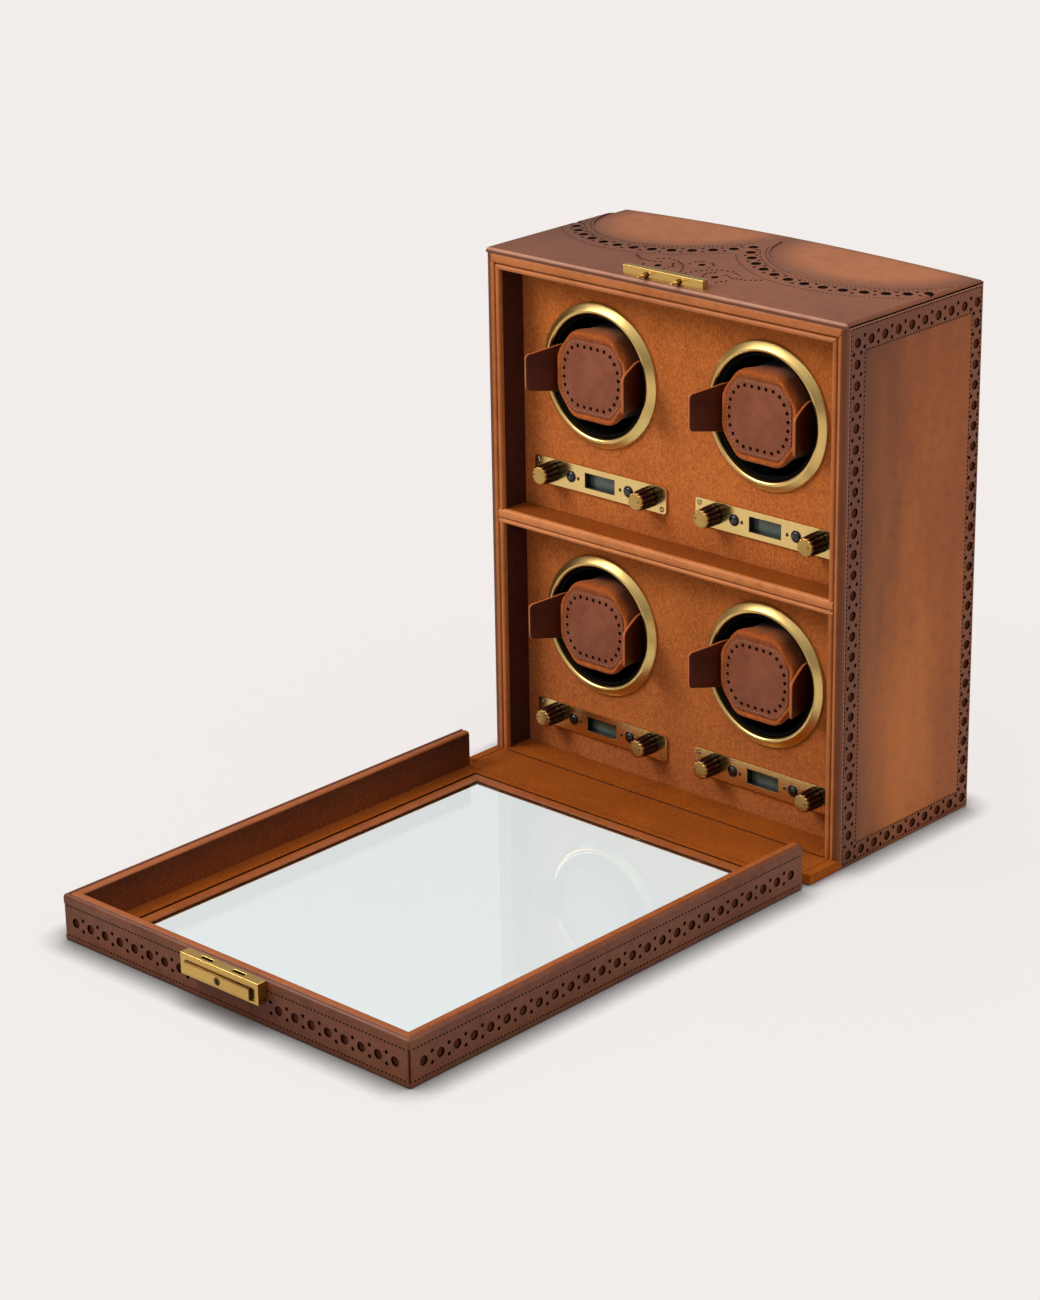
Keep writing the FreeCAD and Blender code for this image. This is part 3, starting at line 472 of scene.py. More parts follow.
def softened(name, node, material, width, drawn=None):
    """A copy of a CAD solid whose edges are broken by a small rounding. drawn may move its points first."""
    mesh = frame["nodes"][node].data.copy()
    mesh.materials.clear()
    work = bmesh.new()
    work.from_mesh(mesh)
    bmesh.ops.remove_doubles(work, verts=work.verts, dist=WELD)
    bmesh.ops.dissolve_limit(work, angle_limit=math.radians(0.6), verts=work.verts, edges=work.edges)
    for vert in work.verts if drawn else ():
        vert.co = Vector(drawn(*(vert.co / MM))) * MM
    work.to_mesh(mesh)
    work.free()
    bevel = {"width": width * MM, "segments": 2, "limit_method": "ANGLE", "angle_limit": math.radians(25),
             "harden_normals": False, "use_clamp_overlap": True}
    obj = new_piece(name, mesh, material, 50.0)
    return finished(obj, ("BEVEL", bevel), ("WEIGHTED_NORMAL", {"keep_sharp": True}))


def dressed(name, node, material, width, body, slot, drawn=None):
    """A softened copy of a CAD solid, installed in its place."""
    return install(softened(name, node, material, width, drawn), body, slot, node)


# %% [markdown]
# ## Punched leather
#
# Brogue punching is a row of big round holes with a pair of small ones between each two. A slab is drawn as a flat
# outline with its holes inside, filled and given its thickness. Its cut edges are rounded a little, as a punch
# leaves them, and the walls of its holes are near black: a dark cut edge and painted shade in one. The slab lies on
# a second, dark layer of leather, which shows at the bottom of each hole; there its darkness is partly painted
# shade.

# %% Slabs with holes
BIG_R = 3.45
SMALL_R = 1.4
PAIR = 4.0          # from the row's line to a small hole


def loop(curve, points):
    spline = curve.splines.new("POLY")
    spline.points.add(len(points) - 1)
    for point, (u, v) in zip(spline.points, points):
        point.co = (u * MM, v * MM, 0, 1)
    spline.use_cyclic_u = True


def slab(name, outline, holes, thick, soft=0.12, windows=()):
    """A flat mesh in U and V with holes given as (u, v, radius). Its top face is at w = 0."""
    curve = bpy.data.curves.new(name, "CURVE")
    curve.dimensions = "2D"
    curve.fill_mode = "BOTH"
    curve.extrude = (thick / 2 - soft) * MM
    curve.bevel_depth = soft * MM
    curve.bevel_resolution = 1
    curve.offset = -soft * MM
    loop(curve, outline)
    for u, v, radius in holes:
        count = 24 if radius > 2 else 12
        angles = [-2 * math.pi * i / count for i in range(count)]
        loop(curve, [(u + radius * math.cos(a), v + radius * math.sin(a)) for a in angles])
    for corners in windows:
        loop(curve, corners)
    obj = bpy.data.objects.new(name, curve)
    scene.collection.objects.link(obj)
    graph = bpy.context.evaluated_depsgraph_get()
    mesh = bpy.data.meshes.new_from_object(obj.evaluated_get(graph), depsgraph=graph)
    bpy.data.objects.remove(obj)
    mesh.transform(Matrix.Translation((0, 0, -thick / 2 * MM)))
    # Walls of holes take the second, near-black material: a dark cut edge and painted shade in one.
    for face in mesh.polygons if holes else ():
        if abs(face.normal.z) < 0.5:
            u, v = face.center.x / MM, face.center.y / MM
            face.material_index = int(any(math.dist((u, v), hole[:2]) < hole[2] + 0.3 for hole in holes))
    return mesh


def laid(mesh, origin, out):
    """Stand a flat mesh up at origin, in millimetres. V goes up, W goes out, and U goes back or to the right."""
    along = Vector((0, 1, 0)) if out[0] else Vector((1, 0, 0))
    frame_matrix = Matrix((along, Vector((0, 0, 1)), Vector(out))).transposed().to_4x4()
    mesh.transform(Matrix.Translation(Vector(origin) * MM) @ frame_matrix)
    if frame_matrix.to_3x3().determinant() < 0:
        mesh.flip_normals()
    return mesh


def row(start, end, count, ends=True):
    """Big holes from start to end, with a pair of small ones across the line between each two."""
    start, end = Vector(start), Vector(end)
    step = (end - start) / (count - 1)
    across = Vector((-step.y, step.x)).normalized() * PAIR
    holes = []
    for i in range(count):
        middle = start + step * i
        if ends or 0 < i < count - 1:
            holes.append((middle.x, middle.y, BIG_R))
        if i < count - 1:
            between = middle + step / 2
            for spot in (between + across, between - across):
                holes.append((spot.x, spot.y, SMALL_R))
    return holes


def rectangle(u0, u1, v0, v1):
    return [(u0, v0), (u1, v0), (u1, v1), (u0, v1)]


def bent(mesh, cuts, place):
    """Cut a flat mesh along lines, given as (axis, millimetres), then move each of its points with place."""
    work = bmesh.new()
    work.from_mesh(mesh)
    for axis, line in cuts:
        normal = Vector([1.0 if k == axis else 0.0 for k in range(3)])
        everything = work.verts[:] + work.edges[:] + work.faces[:]
        bmesh.ops.bisect_plane(work, geom=everything, plane_co=normal * line * MM, plane_no=normal)
    for vert in work.verts:
        vert.co = Vector(place(*(vert.co / MM))) * MM
    bmesh.ops.remove_doubles(work, verts=work.verts, dist=WELD)
    work.to_mesh(mesh)
    work.free()
    return mesh


# %% [markdown]
# ## Stitches
#
# Each stitch is a small rounded bar of thread that dips at both ends. A row is made along a line of corners on a
# surface, and all the rows of one area are one piece.

# %% Rows of stitches
THREAD_PITCH = 3.3
THREAD_SUNK = 0.06     # how deep a stitch sits in the leather


def stitches(name, rows, material, length=2.3, width=1.35, proud=0.3):
    """rows holds (corners, outward direction) pairs in millimetres."""
    stations = [(-0.5, 0.25, -0.25), (-0.34, 0.85, 0.6), (0.0, 1.0, 1.0), (0.34, 0.85, 0.6), (0.5, 0.25, -0.25)]
    arc = [0.0, 0.25, 0.5, 0.75, 1.0]
    points, faces = [], []
    for corners, outward in rows:
        corners = [Vector(c) for c in corners]
        for a, b in zip(corners, corners[1:]):
            run = b - a
            count = max(1, round(run.length / THREAD_PITCH))
            along = run.normalized()
            up = Vector(outward).normalized()
            across = up.cross(along)
            for i in range(count):
                middle = a + run * ((i + 0.5) / count)
                base = len(points)
                for t, wide, high in stations:
                    for share in arc:
                        side = math.cos(math.pi * share) * width / 2 * wide
                        rise = math.sin(math.pi * share) * proud * high - THREAD_SUNK
                        spot = along * (t * min(length, run.length / count)) + across * side + up * rise
                        points.append(middle + spot)
                for f in rings_to_faces(len(stations), len(arc), wrap=False):
                    faces.append([base + k for k in f])
    return new_piece(name, mesh_of(name, points, faces, merge=False), material, 180)


# %% [markdown]
# ## Colours of this winder
#
# The cabinet is a red-brown calf that is rubbed nearly black-brown at its edges and polished to tan in the
# fields. The compartments are lined with a warm rust suede. The brass is pale and satin.

# %% Materials
side_leather = leather("calf_side", rgb(60, 25, 11), rgb(124, 60, 14), rgb(158, 87, 25),
                       ((0, FRONT, 0), (0, BACK, 397)), (1, 2), 30, 0.12, cloud=9.0, speckle=0.5,
                       fades=((1, FRONT - 4, FRONT + 92, 0.92), (2, 430, 300, 0.30)), stretch=(1.0, 1.9, 0.42),
                       bands=[((0, FRONT + 21.3, 15.3), (0, FRONT + 142.2, 376.7), (1, 2), rgb(92, 48, 28), 0.70),
                              ((0, FRONT + 4.9, -9), (0, 300, 394.6), (1, 2), rgb(164, 104, 74), 0.55)])
# A dark second layer of calf. Its darkness is partly painted shade, at the bottom of holes and in the floor's
# crease.
backing_and_shade = leather("calf_backing_and_shade", rgb(30, 12, 6), rgb(62, 29, 16), rgb(76, 38, 22), gloss=0.8,
                          specular=0.03)
# Near black: dark cut edges, and painted shade in holes, grooves and under punched layers.
cut_edge_and_shade = leather("calf_cut_and_shade", rgb(6, 2, 1), rgb(18, 7, 4), rgb(26, 11, 6), gloss=0.8, specular=0.03)
HOLLOWS = [(hand * HOLLOW_X, FRONT + HOLLOW_D, 52, 84) for hand in (-1, 1)]
top_calf = leather("calf_top", rgb(92, 50, 29), rgb(136, 78, 44), rgb(152, 90, 51),
                   ((-SIDE, FRONT, 0), (SIDE, BACK, 0)), (0, 1), 14, 0.5, hollows=HOLLOWS)
# The pale band along the toe cap's front edge is a painted highlight on its rounded ridge.
toe_calf = leather("calf_toe", rgb(62, 30, 18), rgb(100, 55, 33), rgb(118, 67, 42), fades=((0, -190, 60, 0.36),),
                   bands=[((0, FRONT + 1.3, 0), (0, 200, 0), (1,), rgb(196, 142, 116), 0.50)])
rim_calf = leather("calf_rim", rgb(58, 26, 12), rgb(156, 86, 38), rgb(170, 98, 48), cloud=14,
                   bands=[((-160.6, 0, 0), (160.6, 0, 0), (0,), rgb(78, 38, 20), 0.85)])
# A lighter copy of the rim's calf for the shelf's nose: painted light.
lit_nose_calf = leather("calf_nose_lit", rgb(90, 42, 18), rgb(178, 104, 52), rgb(192, 116, 62), cloud=14)
lid_calf = leather("calf_lid", rgb(44, 20, 11), rgb(86, 44, 24), rgb(104, 57, 34), cloud=10)
strip_calf = leather("calf_lid_top", rgb(84, 38, 15), rgb(126, 64, 25), rgb(140, 74, 33), cloud=14)
wing_calf = leather("calf_wing", rgb(22, 6, 2), rgb(64, 20, 4), rgb(80, 29, 7), gloss=0.42, cloud=30)
edge_paint = leather("edge_paint", rgb(110, 52, 24), rgb(166, 88, 46), rgb(182, 100, 56), cloud=40)
plate_calf = leather("calf_plate", rgb(70, 34, 22), rgb(118, 62, 38), rgb(134, 74, 48), gloss=0.44, cloud=26)
# The lining's fade darkens its lower part: painted shade.
lining = suede("suede_lining", rgb(126, 58, 16), rgb(204, 114, 48), sheen=0.22, fade=(2, -40, 260, 0.20))
# A darker copy of the lining for the recess walls: painted shade.
lining_shaded = suede("suede_reveal_shaded", rgb(42, 11, 2), rgb(84, 28, 8))
# A darker copy of the suede for the lid's inner wall: painted shade. Its fade darkens the wall further towards its
# top, also painted shade.
lining_lid_shaded = suede("suede_lid_shaded", rgb(68, 24, 2), rgb(122, 55, 12), fade=(2, 38, 6, 0.60))
floor_suede = suede("suede_floor", rgb(92, 38, 1), rgb(150, 74, 10), 16, 1.2, sheen=0.02)
# The pad's fade darkens it behind its front: painted shade.
pad_suede = suede("suede_pad", rgb(118, 53, 16), rgb(180, 94, 40), 60, fade=(1, FRONT + 42, FRONT + 22, 0.85))
thread = plastic("thread_dark", rgb(15, 6, 3), rgb(32, 14, 8), 0.8, fine=0.1, specular=0.1)
thread_pale = plastic("thread_pale", rgb(186, 134, 96), rgb(156, 104, 70), 0.8, fine=0.1)
gold_ring = metal("brass_ring", rgb(224, 190, 118), rgb(176, 136, 70), 0.30, ring=True)
gold_plate = metal("brass_plate", rgb(230, 198, 128), rgb(180, 140, 74), 0.20, (0.03, 1, 1))
gold_lock = metal("brass_lock", rgb(204, 166, 92), rgb(146, 106, 48), 0.28, (0.03, 1, 1))
gold_cap = metal("brass_cap", rgb(190, 152, 88), rgb(140, 100, 50), 0.30, ring=True)
antique_brass_and_shade = metal("brass_antique_and_shade", rgb(92, 66, 36), rgb(38, 26, 16), 0.42, tarnish=0.8)
steel = metal("steel_plain", rgb(150, 150, 152), rgb(92, 92, 96), 0.35)
black = plastic("plastic_black", rgb(12, 11, 11), rgb(24, 22, 21), 0.42)
drum_black = plastic("plastic_drum", rgb(5, 5, 6), rgb(12, 10, 10), 0.9, specular=0.08)
button_black = plastic("plastic_button", rgb(6, 6, 6), rgb(12, 12, 13), 0.16, 0.3)
knob_brown = plastic("plastic_knob", rgb(32, 6, 3), rgb(62, 15, 7), 0.40, 0.08, specular=0.22)
gear_white = plastic("plastic_gear", rgb(214, 212, 204), rgb(186, 182, 170), 0.45)
lcd_grey = plastic("display_grey", rgb(62, 76, 64), rgb(76, 92, 80), 0.22, 0.3)
wood = board("board_stained", rgb(86, 50, 30), rgb(56, 32, 20))
pane = clear_glass("glass_pane")
CAD_LOOKS = {"leather": side_leather, "leather_dark": wing_calf, "suede": lining, "suede_cuff": pad_suede,
             "board": wood, "brass": gold_plate, "antique_brass": antique_brass_and_shade, "steel": steel,
             "black_plastic": drum_black, "dark_plastic": knob_brown, "white_plastic": gear_white,
             "display_glass": lcd_grey, "glass": pane}
for part in frame["record"]["subparts"]:
    carried = frame["nodes"][part["node"]]
    carried.data.materials.clear()
    carried.data.materials.append(CAD_LOOKS[part["material_slot"]])
print("materials", len(bpy.data.materials))

# %% [markdown]
# ## Cabinet sides
#
# Each side is one punched skin. A row of holes runs round its border, between two lines of stitches. The skin is
# 1.35 mm thick and lies on a thin dark backing that fills the rest of the leather's depth. Its darkness at the
# bottom of each hole is partly painted shade.

# %% Side skins
SIDE_NEAR = RIM + 0.15
ROW_NEAR, ROW_FAR = 12.7, 148.4      # depths of the two upright rows
ROW_LOW, ROW_HIGH = 8.5, 383.7
BACKING = 0.15         # thickness of the dark layer under the holes
SIDE_LINES = [(5.6, 2.5, 5.6, 394.5), (21.0, 15.5, 21.0, 376.5), (142.5, 15.5, 142.5, 376.5),
              (152.6, 2.5, 152.6, 394.5), (21.5, 377.0, 142.0, 377.0), (6.5, 394.0, 152.0, 394.0),
              (21.5, 15.0, 142.0, 15.0), (6.5, 2.8, 152.0, 2.8)]


def side_holes():
    """Two upright rows, and two level ones that leave their corners to them."""
    holes = []
    for depth in (ROW_NEAR, ROW_FAR):
        holes += row((depth, ROW_LOW), (depth, ROW_HIGH), 26)
    for height in (ROW_LOW, ROW_HIGH):
        holes += row((ROW_NEAR, height), (ROW_FAR, height), 10, False)
    return holes


for hand, word in HANDS:
    x, out = hand * SIDE, Vector((hand, 0, 0))
    skin = slab("side_skin_" + word, rectangle(SIDE_NEAR, 154.9, 0.2, 396.8), side_holes(), SKIN - BACKING)
    nodes = ["side_leather"] if hand > 0 else []
    fitted("side_skin_" + word, laid(skin, (x, FRONT, 0), out), [side_leather, cut_edge_and_shade], 30,
           "cabinet", "leather", *nodes)
    # The backing is dark partly as painted shade at the bottom of the holes.
    under = slab("side_backing_and_shade_" + word, rectangle(SIDE_NEAR, 154.8, 0.3, 396.7), [], BACKING, 0.02)
    laid(under, (hand * (SIDE - SKIN + BACKING), FRONT, 0), out)
    fitted("side_backing_and_shade_" + word, under, backing_and_shade, 35, "cabinet", "leather")
    rows = [([at(x, d0, z0), at(x, d1, z1)], out) for d0, z0, d1, z1 in SIDE_LINES]
    install(stitches("side_stitches_" + word, rows, thread), "cabinet", "leather")
print("side holes", len(side_holes()))

# %% [markdown]
# ## Front rim
#
# The rim is a padded leather frame. One section is swept up the left side, over the top and down the right, with
# mitred corners. Its outer strip and the bead round the opening are parted by a crease.

# %% Rim
RIM_SECTION = [(0, 4.0), (0, 1.7), (0.3, 0.75), (1.1, 0.25), (2.2, 0.15), (3.3, 0.4), (3.75, 1.0), (3.9, 2.6),
               (4.55, 2.6), (4.75, 1.0), (5.2, 0.4), (6.0, 0.08), (7.5, 0.0), (9.3, 0.1), (10.7, 0.45),
               (11.6, 1.3), (12.0, 2.6), (12.0, 4.0)]
MITRE_GAP = 0.25       # each length ends this far short of the corner


def rim_member(first, second, shift_first, shift_second):
    """One straight length between two stations, each drawn back a hair so that the mitre shows as a fine line."""
    rings = []
    for (hand, high), (dx, dz) in ((first, shift_first), (second, shift_second)):
        for out, depth in RIM_SECTION:
            rise = out if out < 9 else 9 + (out - 9) * 4 / 3
            z = OPEN_TOP + rise if high else FLOOR
            rings.append(at(hand * (OPEN_X + out) + dx, depth, z + dz))
    return rings


def rim_mesh():
    gap = MITRE_GAP
    members = [rim_member((-1, False), (-1, True), (0, 0), (0, -gap)),
               rim_member((-1, True), (1, True), (gap, 0), (-gap, 0)),
               rim_member((1, True), (1, False), (0, -gap), (0, 0))]
    points, faces = [], []
    for rings in members:
        base = len(points)
        points += rings
        faces += [[base + k for k in f] for f in rings_to_faces(2, len(RIM_SECTION), caps=True)]
    return mesh_of("front_rim_leather", points, faces, merge=False)


fitted("front_rim_leather", rim_mesh(), rim_calf, 50, "cabinet", "leather", "front_rim")

# %% [markdown]
# ## Padded top
#
# The top swells by about 5 mm over its middle. The rear is one pad of lighter leather. The toe cap lies over it:
# a darker, punched layer whose back edge is two hollows that meet in a point, as on a shoe.

# %% Shape of the top
EDGE_R = 3.0           # radius of the rounded border


def crown(x, y):
    """Rise of the top over its edges, in millimetres."""
    u, v = (x + SIDE) / (2 * SIDE), (y - FRONT) / (BACK - FRONT)
    return 2 * u * (1 - u) * (2 * v * (1 - v) * 16.25 + v * v * 7.0)


def rolled(x, y):
    """How far the rounded border of the top has dropped at a place."""
    gap = min(SIDE - abs(x), y - FRONT, BACK - y)
    if gap >= EDGE_R:
        return 0.0
    gap = max(gap, 0.0)
    return EDGE_R - math.sqrt(max(EDGE_R ** 2 - (EDGE_R - gap) ** 2, 0.0))


BORDER = [0.0, 0.25, 0.8, 1.7, 3.0]


def on_top(x, d, lift):
    y = FRONT + d
    return Vector((x, y, TOP + crown(x, y) - rolled(x, y) + lift))


def pad_grid():
    """Places of the pad's grid lines along a side of this half length."""
    def lines(half, count):
        inner = list(np.linspace(-half + 8, half - 8, count))
        return [-half + b for b in BORDER] + inner + [half - b for b in reversed(BORDER)]
    return lines(SIDE, 34), [(FRONT + BACK) / 2 + t for t in lines((BACK - FRONT) / 2, 15)]


def top_pad():
    """A grid of points over the crown, with a skirt down to the board and a flat underside."""
    xs, ys = pad_grid()
    wide, deep = len(xs), len(ys)
    points = [(x, y, TOP + crown(x, y) - rolled(x, y)) for y in ys for x in xs]
    faces = rings_to_faces(deep, wide, wrap=False)
    outer = list(range(wide)) + [j * wide + wide - 1 for j in range(1, deep)]
    outer += [(deep - 1) * wide + i for i in reversed(range(wide - 1))]
    outer += [j * wide for j in reversed(range(1, deep - 1))]
    start, count = len(points), len(outer)
    points += [(points[k][0], points[k][1], TOP - SKIN + 0.15) for k in outer]
    for k in range(count):
        n = (k + 1) % count
        faces.append((outer[k], outer[n], start + n, start + k))
    return mesh_of("top_pad", points, faces + [tuple(range(start, start + count))])


fitted("top_pad", top_pad(), top_calf, 60, "cabinet", "leather", "top_leather")

# %% [markdown]
# The toe cap's line of big holes is drawn along its two hollows. Small pairs follow between them. A plain figure
# of punched dots fills the place behind the strike plate.

# %% Toe cap
HOLE_LINE_R = 94.5
TOP_STEP = 15.5        # between two big holes
TOP_BIG_R, TOP_SMALL_R, DOT_R = 3.7, 1.35, 1.05
CAP = 1.2              # thickness of the toe cap


def arc_points(centre_x, radius, first, last, step):
    """Places along a hollow's arc between two angles in degrees, this far apart."""
    count = max(2, round(abs(math.radians(last - first)) * radius / step) + 1)
    spots = []
    for i in range(count):
        angle = math.radians(first + (last - first) * i / (count - 1))
        spots.append((centre_x + radius * math.cos(angle), HOLLOW_D + radius * math.sin(angle), angle))
    return spots


def toe_outline():
    """From the left front corner along the front, then back along the two hollows."""
    edge = SIDE - 0.2
    points = [(x, 0.3) for x in np.linspace(-edge, edge, 30)]
    points += [(edge, d) for d in np.linspace(12, HOLLOW_D - 9, 12)]
    points += [(x, d) for x, d, _ in arc_points(HOLLOW_X, HOLLOW_R, -5.5, -169, 2.5)]
    points += [(x, d) for x, d, _ in arc_points(-HOLLOW_X, HOLLOW_R, -11, -174.5, 2.5)]
    return points + [(-edge, d) for d in np.linspace(HOLLOW_D - 9, 12, 12)]


def toe_holes():
    holes = []
    for hand in (-1, 1):
        near, far = -(90 + hand * 62), -(90 - hand * 56)
        spots = arc_points(hand * HOLLOW_X, HOLE_LINE_R, near, far, TOP_STEP)
        for i, (x, d, angle) in enumerate(spots):
            if hand > 0 or i > 0:
                holes.append((x, d, TOP_BIG_R))
            if i < len(spots) - 1:
                half = (spots[i + 1][2] + angle) / 2
                for off in (-PAIR, PAIR):
                    r = HOLE_LINE_R + off
                    px, pd = hand * HOLLOW_X + r * math.cos(half), HOLLOW_D + r * math.sin(half)
                    if abs(px) < SIDE - 3 and hand * px > 2.0:
                        holes.append((px, pd, TOP_SMALL_R))
    holes += [(x, d, 2.6) for x, d in ((-26, 30), (26, 30), (0, 47))]
    for x, d in figure_dots():
        for spot in ((-x, d, DOT_R), (x, d, DOT_R)):
            if all(math.dist(spot[:2], other[:2]) > other[2] + 1.7 for other in holes):
                holes.append(spot)
    return holes


FIGURE = (((57, 42.5), (48, 36.4), (38, 35.0), (30, 37.5)), ((37, 43.0), (29, 46.5), (20, 45.0), (11, 39.5),
          (6, 33.5), (2.5, 26.5)), ((38, 28.0), (34, 22.0)), ((17.5, 27.0), (15.5, 33.5), (19, 38.5)),
          ((4.0, 54.0), (8.5, 50.0), (9.0, 44.5)))
FIGURE_STEP = 4.0


def figure_dots():
    """Half of a plain scroll of small dots, kept clear of one another."""
    dots = []
    for line in FIGURE:
        for a, b in zip(line, line[1:]):
            a, b = Vector(a), Vector(b)
            count = max(1, round((b - a).length / FIGURE_STEP))
            dots += [tuple(a.lerp(b, i / count)) for i in range(count)]
        dots.append(line[-1])
    return dots


def toe_layer(holes, thick, soft, lift):
    """The flat layer, cut along a grid and draped over the crown."""
    mesh = slab("toe_cap", toe_outline(), holes, thick, soft)
    cuts = [(0, s * (SIDE - b)) for s in (-1, 1) for b in BORDER[1:]] + [(0, x) for x in range(-150, 151, 12)]
    cuts += [(1, b) for b in BORDER[1:]] + [(1, d) for d in range(9, 150, 9)]
    return bent(mesh, cuts, lambda x, d, w: on_top(x, d, lift + w))


cap_mesh = toe_layer(toe_holes(), CAP, 0.18, CAP)
fitted("toe_cap", cap_mesh, [toe_calf, cut_edge_and_shade], 28, "cabinet", "leather", "top_overlay")
# A near-black layer under the toe cap's holes: painted shade.
fitted("toe_hole_shade", toe_layer([], 0.2, 0.03, 0.25), cut_edge_and_shade, 28, "cabinet", "leather")
print("toe cap holes", len(toe_holes()))


# %% Lines on the top
top_rows = []
for hand in (-1, 1):
    for radius, near, far in ((HOLE_LINE_R - 6.3, 58, 62), (HOLE_LINE_R + 10.8, 50, 52), (HOLLOW_R + 2.2, 66, 72)):
        spots = arc_points(hand * HOLLOW_X, radius, -(90 + hand * near), -(90 - hand * far), THREAD_PITCH)
        for a, b in zip(spots, spots[1:]):
            if all(abs(p[0]) < SIDE - 1.5 and hand * p[0] > 1.0 for p in (a, b)):
                top_rows.append(([on_top(a[0], a[1], CAP), on_top(b[0], b[1], CAP)], (0, 0, 1)))
install(stitches("top_stitches", top_rows, thread, proud=0.18), "cabinet", "leather_dark")

# %% [markdown]
# ## Suede inside
#
# The lining, the two face panels, the shelf and the base board keep their CAD forms. Their edges are broken a
# little, because cloth or suede never turns a sharp corner. The recess walls take a darker copy of the suede, which
# is painted shade. Three strips that run across are drawn as plain sections: the shelf's soft nose, in a lighter
# copy of the rim's calf that is painted light, the thin lining on the lower floor, and the crease in front of it, a
# dark strip that is painted shade.

# %% Lined boards
# The recess walls take the darker suede as painted shade.
dressed("lining_suede", "recess_lining", lining_shaded, 0.3, "cabinet", "suede")
dressed("panels_suede", "face_panels", lining, 0.3, "cabinet", "suede")
dressed("shelf_suede", "mid_shelf", floor_suede, 0.5, "cabinet", "suede", lambda x, y, z: (x, max(y, FRONT + 3), z))
dressed("base_leather", "base_board", floor_suede, 0.45, "cabinet", "leather")
dressed("back_board", "back_panel", lining, 0.5, "cabinet", "suede")

# %% Strips across the cabinet
SHELF_LOW = 190.0
NOSE = [(5.2, -0.05), (1.8, -0.05), (0.7, 0.3), (0.1, 1.2), (0.1, 2.4), (0.6, 3.2), (2.2, 3.5), (2.2, 4.0),
        (0.5, 4.3), (-0.1, 5.0), (-0.12, 8.6), (0.15, 9.8), (0.8, 10.5), (1.8, 10.8), (3.2, 10.7), (4.2, 10.55),
        (4.6, 10.1), (5.2, 9.9), (5.2, 4.0)]
UNDER = PANEL - 0.2    # the lining ends just short of the panel
LINING_EDGE = [(UNDER, 0.0), (0.5, 0.0), (0.15, 0.3), (0.15, 0.6), (0.4, 0.9), (0.9, 1.0), (UNDER, 1.0)]
GROOVE = [(0.3, 0.0), (-0.8, 0.0), (-0.6, 0.08), (-0.1, 0.12), (0.3, 0.1)]


def strip(name, half, floor, profile, material, slot):
    """A strip that runs across the cabinet, from (depth, rise) pairs."""
    points = [at(x, d, floor + rise) for x in (-half, half) for d, rise in profile]
    mesh = mesh_of(name, points, rings_to_faces(2, len(profile), caps=True), merge=False)
    return fitted(name, mesh, material, 50, "cabinet", slot)


# The nose takes the lighter calf as painted light.
strip("shelf_nose", OPEN_X + 4.1, SHELF_LOW, NOSE, lit_nose_calf, "leather")
strip("floor_lining", OPEN_X, FLOOR, LINING_EDGE, floor_suede, "suede")
# The crease is a thin strip of the dark backing calf: painted shade in the crease.
strip("floor_groove", OPEN_X, FLOOR, GROOVE, backing_and_shade, "leather")

# %% [markdown]
# ## Bezels and drums
#
# A bezel is a turned ring of satin brass, highest at its inner lip and sloping away outwards. Behind it turns a
# black flocked cup.

# %% Turned pieces of a unit
BEZEL = [(54.4, 26.0), (54.4, 24.6), (54.1, 24.1), (53.4, 23.6), (49.7, 20.9), (49.1, 20.5), (48.4, 20.35),
         (47.6, 20.6), (46.9, 21.1), (46.6, 21.7), (46.6, 26.0)]
SLEEVE = [(43.55, 81.6), (43.55, 25.0), (43.8, 24.1), (44.6, 23.75), (45.5, 24.0), (45.95, 24.7), (45.95, 84.2),
          (45.85, 84.2), (45.85, 25.2), (43.65, 25.2), (43.65, 81.6)]
for name, (x, floor) in UNITS.items():
    axis = {"x": x, "z": floor + AXIS_RISE}
    fitted("bezel_" + name, turned(BEZEL, 144), gold_ring, 50, "cabinet", "brass", "bezel_rings", **axis)
    fitted("drum_sleeve_" + name, turned(SLEEVE), drum_black, 50, "drum_" + name, "black_plastic", **axis)

# %% [markdown]
# ## Cuffs
#
# A cuff is foam in a suede cover, with a stitched leather face plate let into its front. The foam is blown up by
# a short cloth simulation from a shape a little smaller than the cover. One pad is simulated and used four times.

# %% Pad
CUFF_W, CUFF_H = 66.8, 65.6
PRESSURE = 4.0
SWELL = 2.2            # no point may move further than this
VOXEL = 2.2            # size of the pad's faces before they are smoothed
PAD_SHAPE = (CUFF_W / 2, CUFF_H / 2, 19.0, 14.8, 6.0)       # half width and height, half flats, reach of the bends
PLATE_SHAPE = (29.6, 28.2, 19.4, 15.4, 4.5)
THREAD_SHAPE = (28.0, 25.8, 18.4, 13.0, 4.5)
DOT_SHAPE = (26.2, 22.6, 17.0, 9.8, 7.5)


def rounded(before, corner, after, steps):
    """Places along a smooth bend from one line to another, past their corner."""
    shares = [k / steps for k in range(steps + 1)]
    return [(1 - t) ** 2 * before + 2 * t * (1 - t) * corner + t * t * after for t in shares]


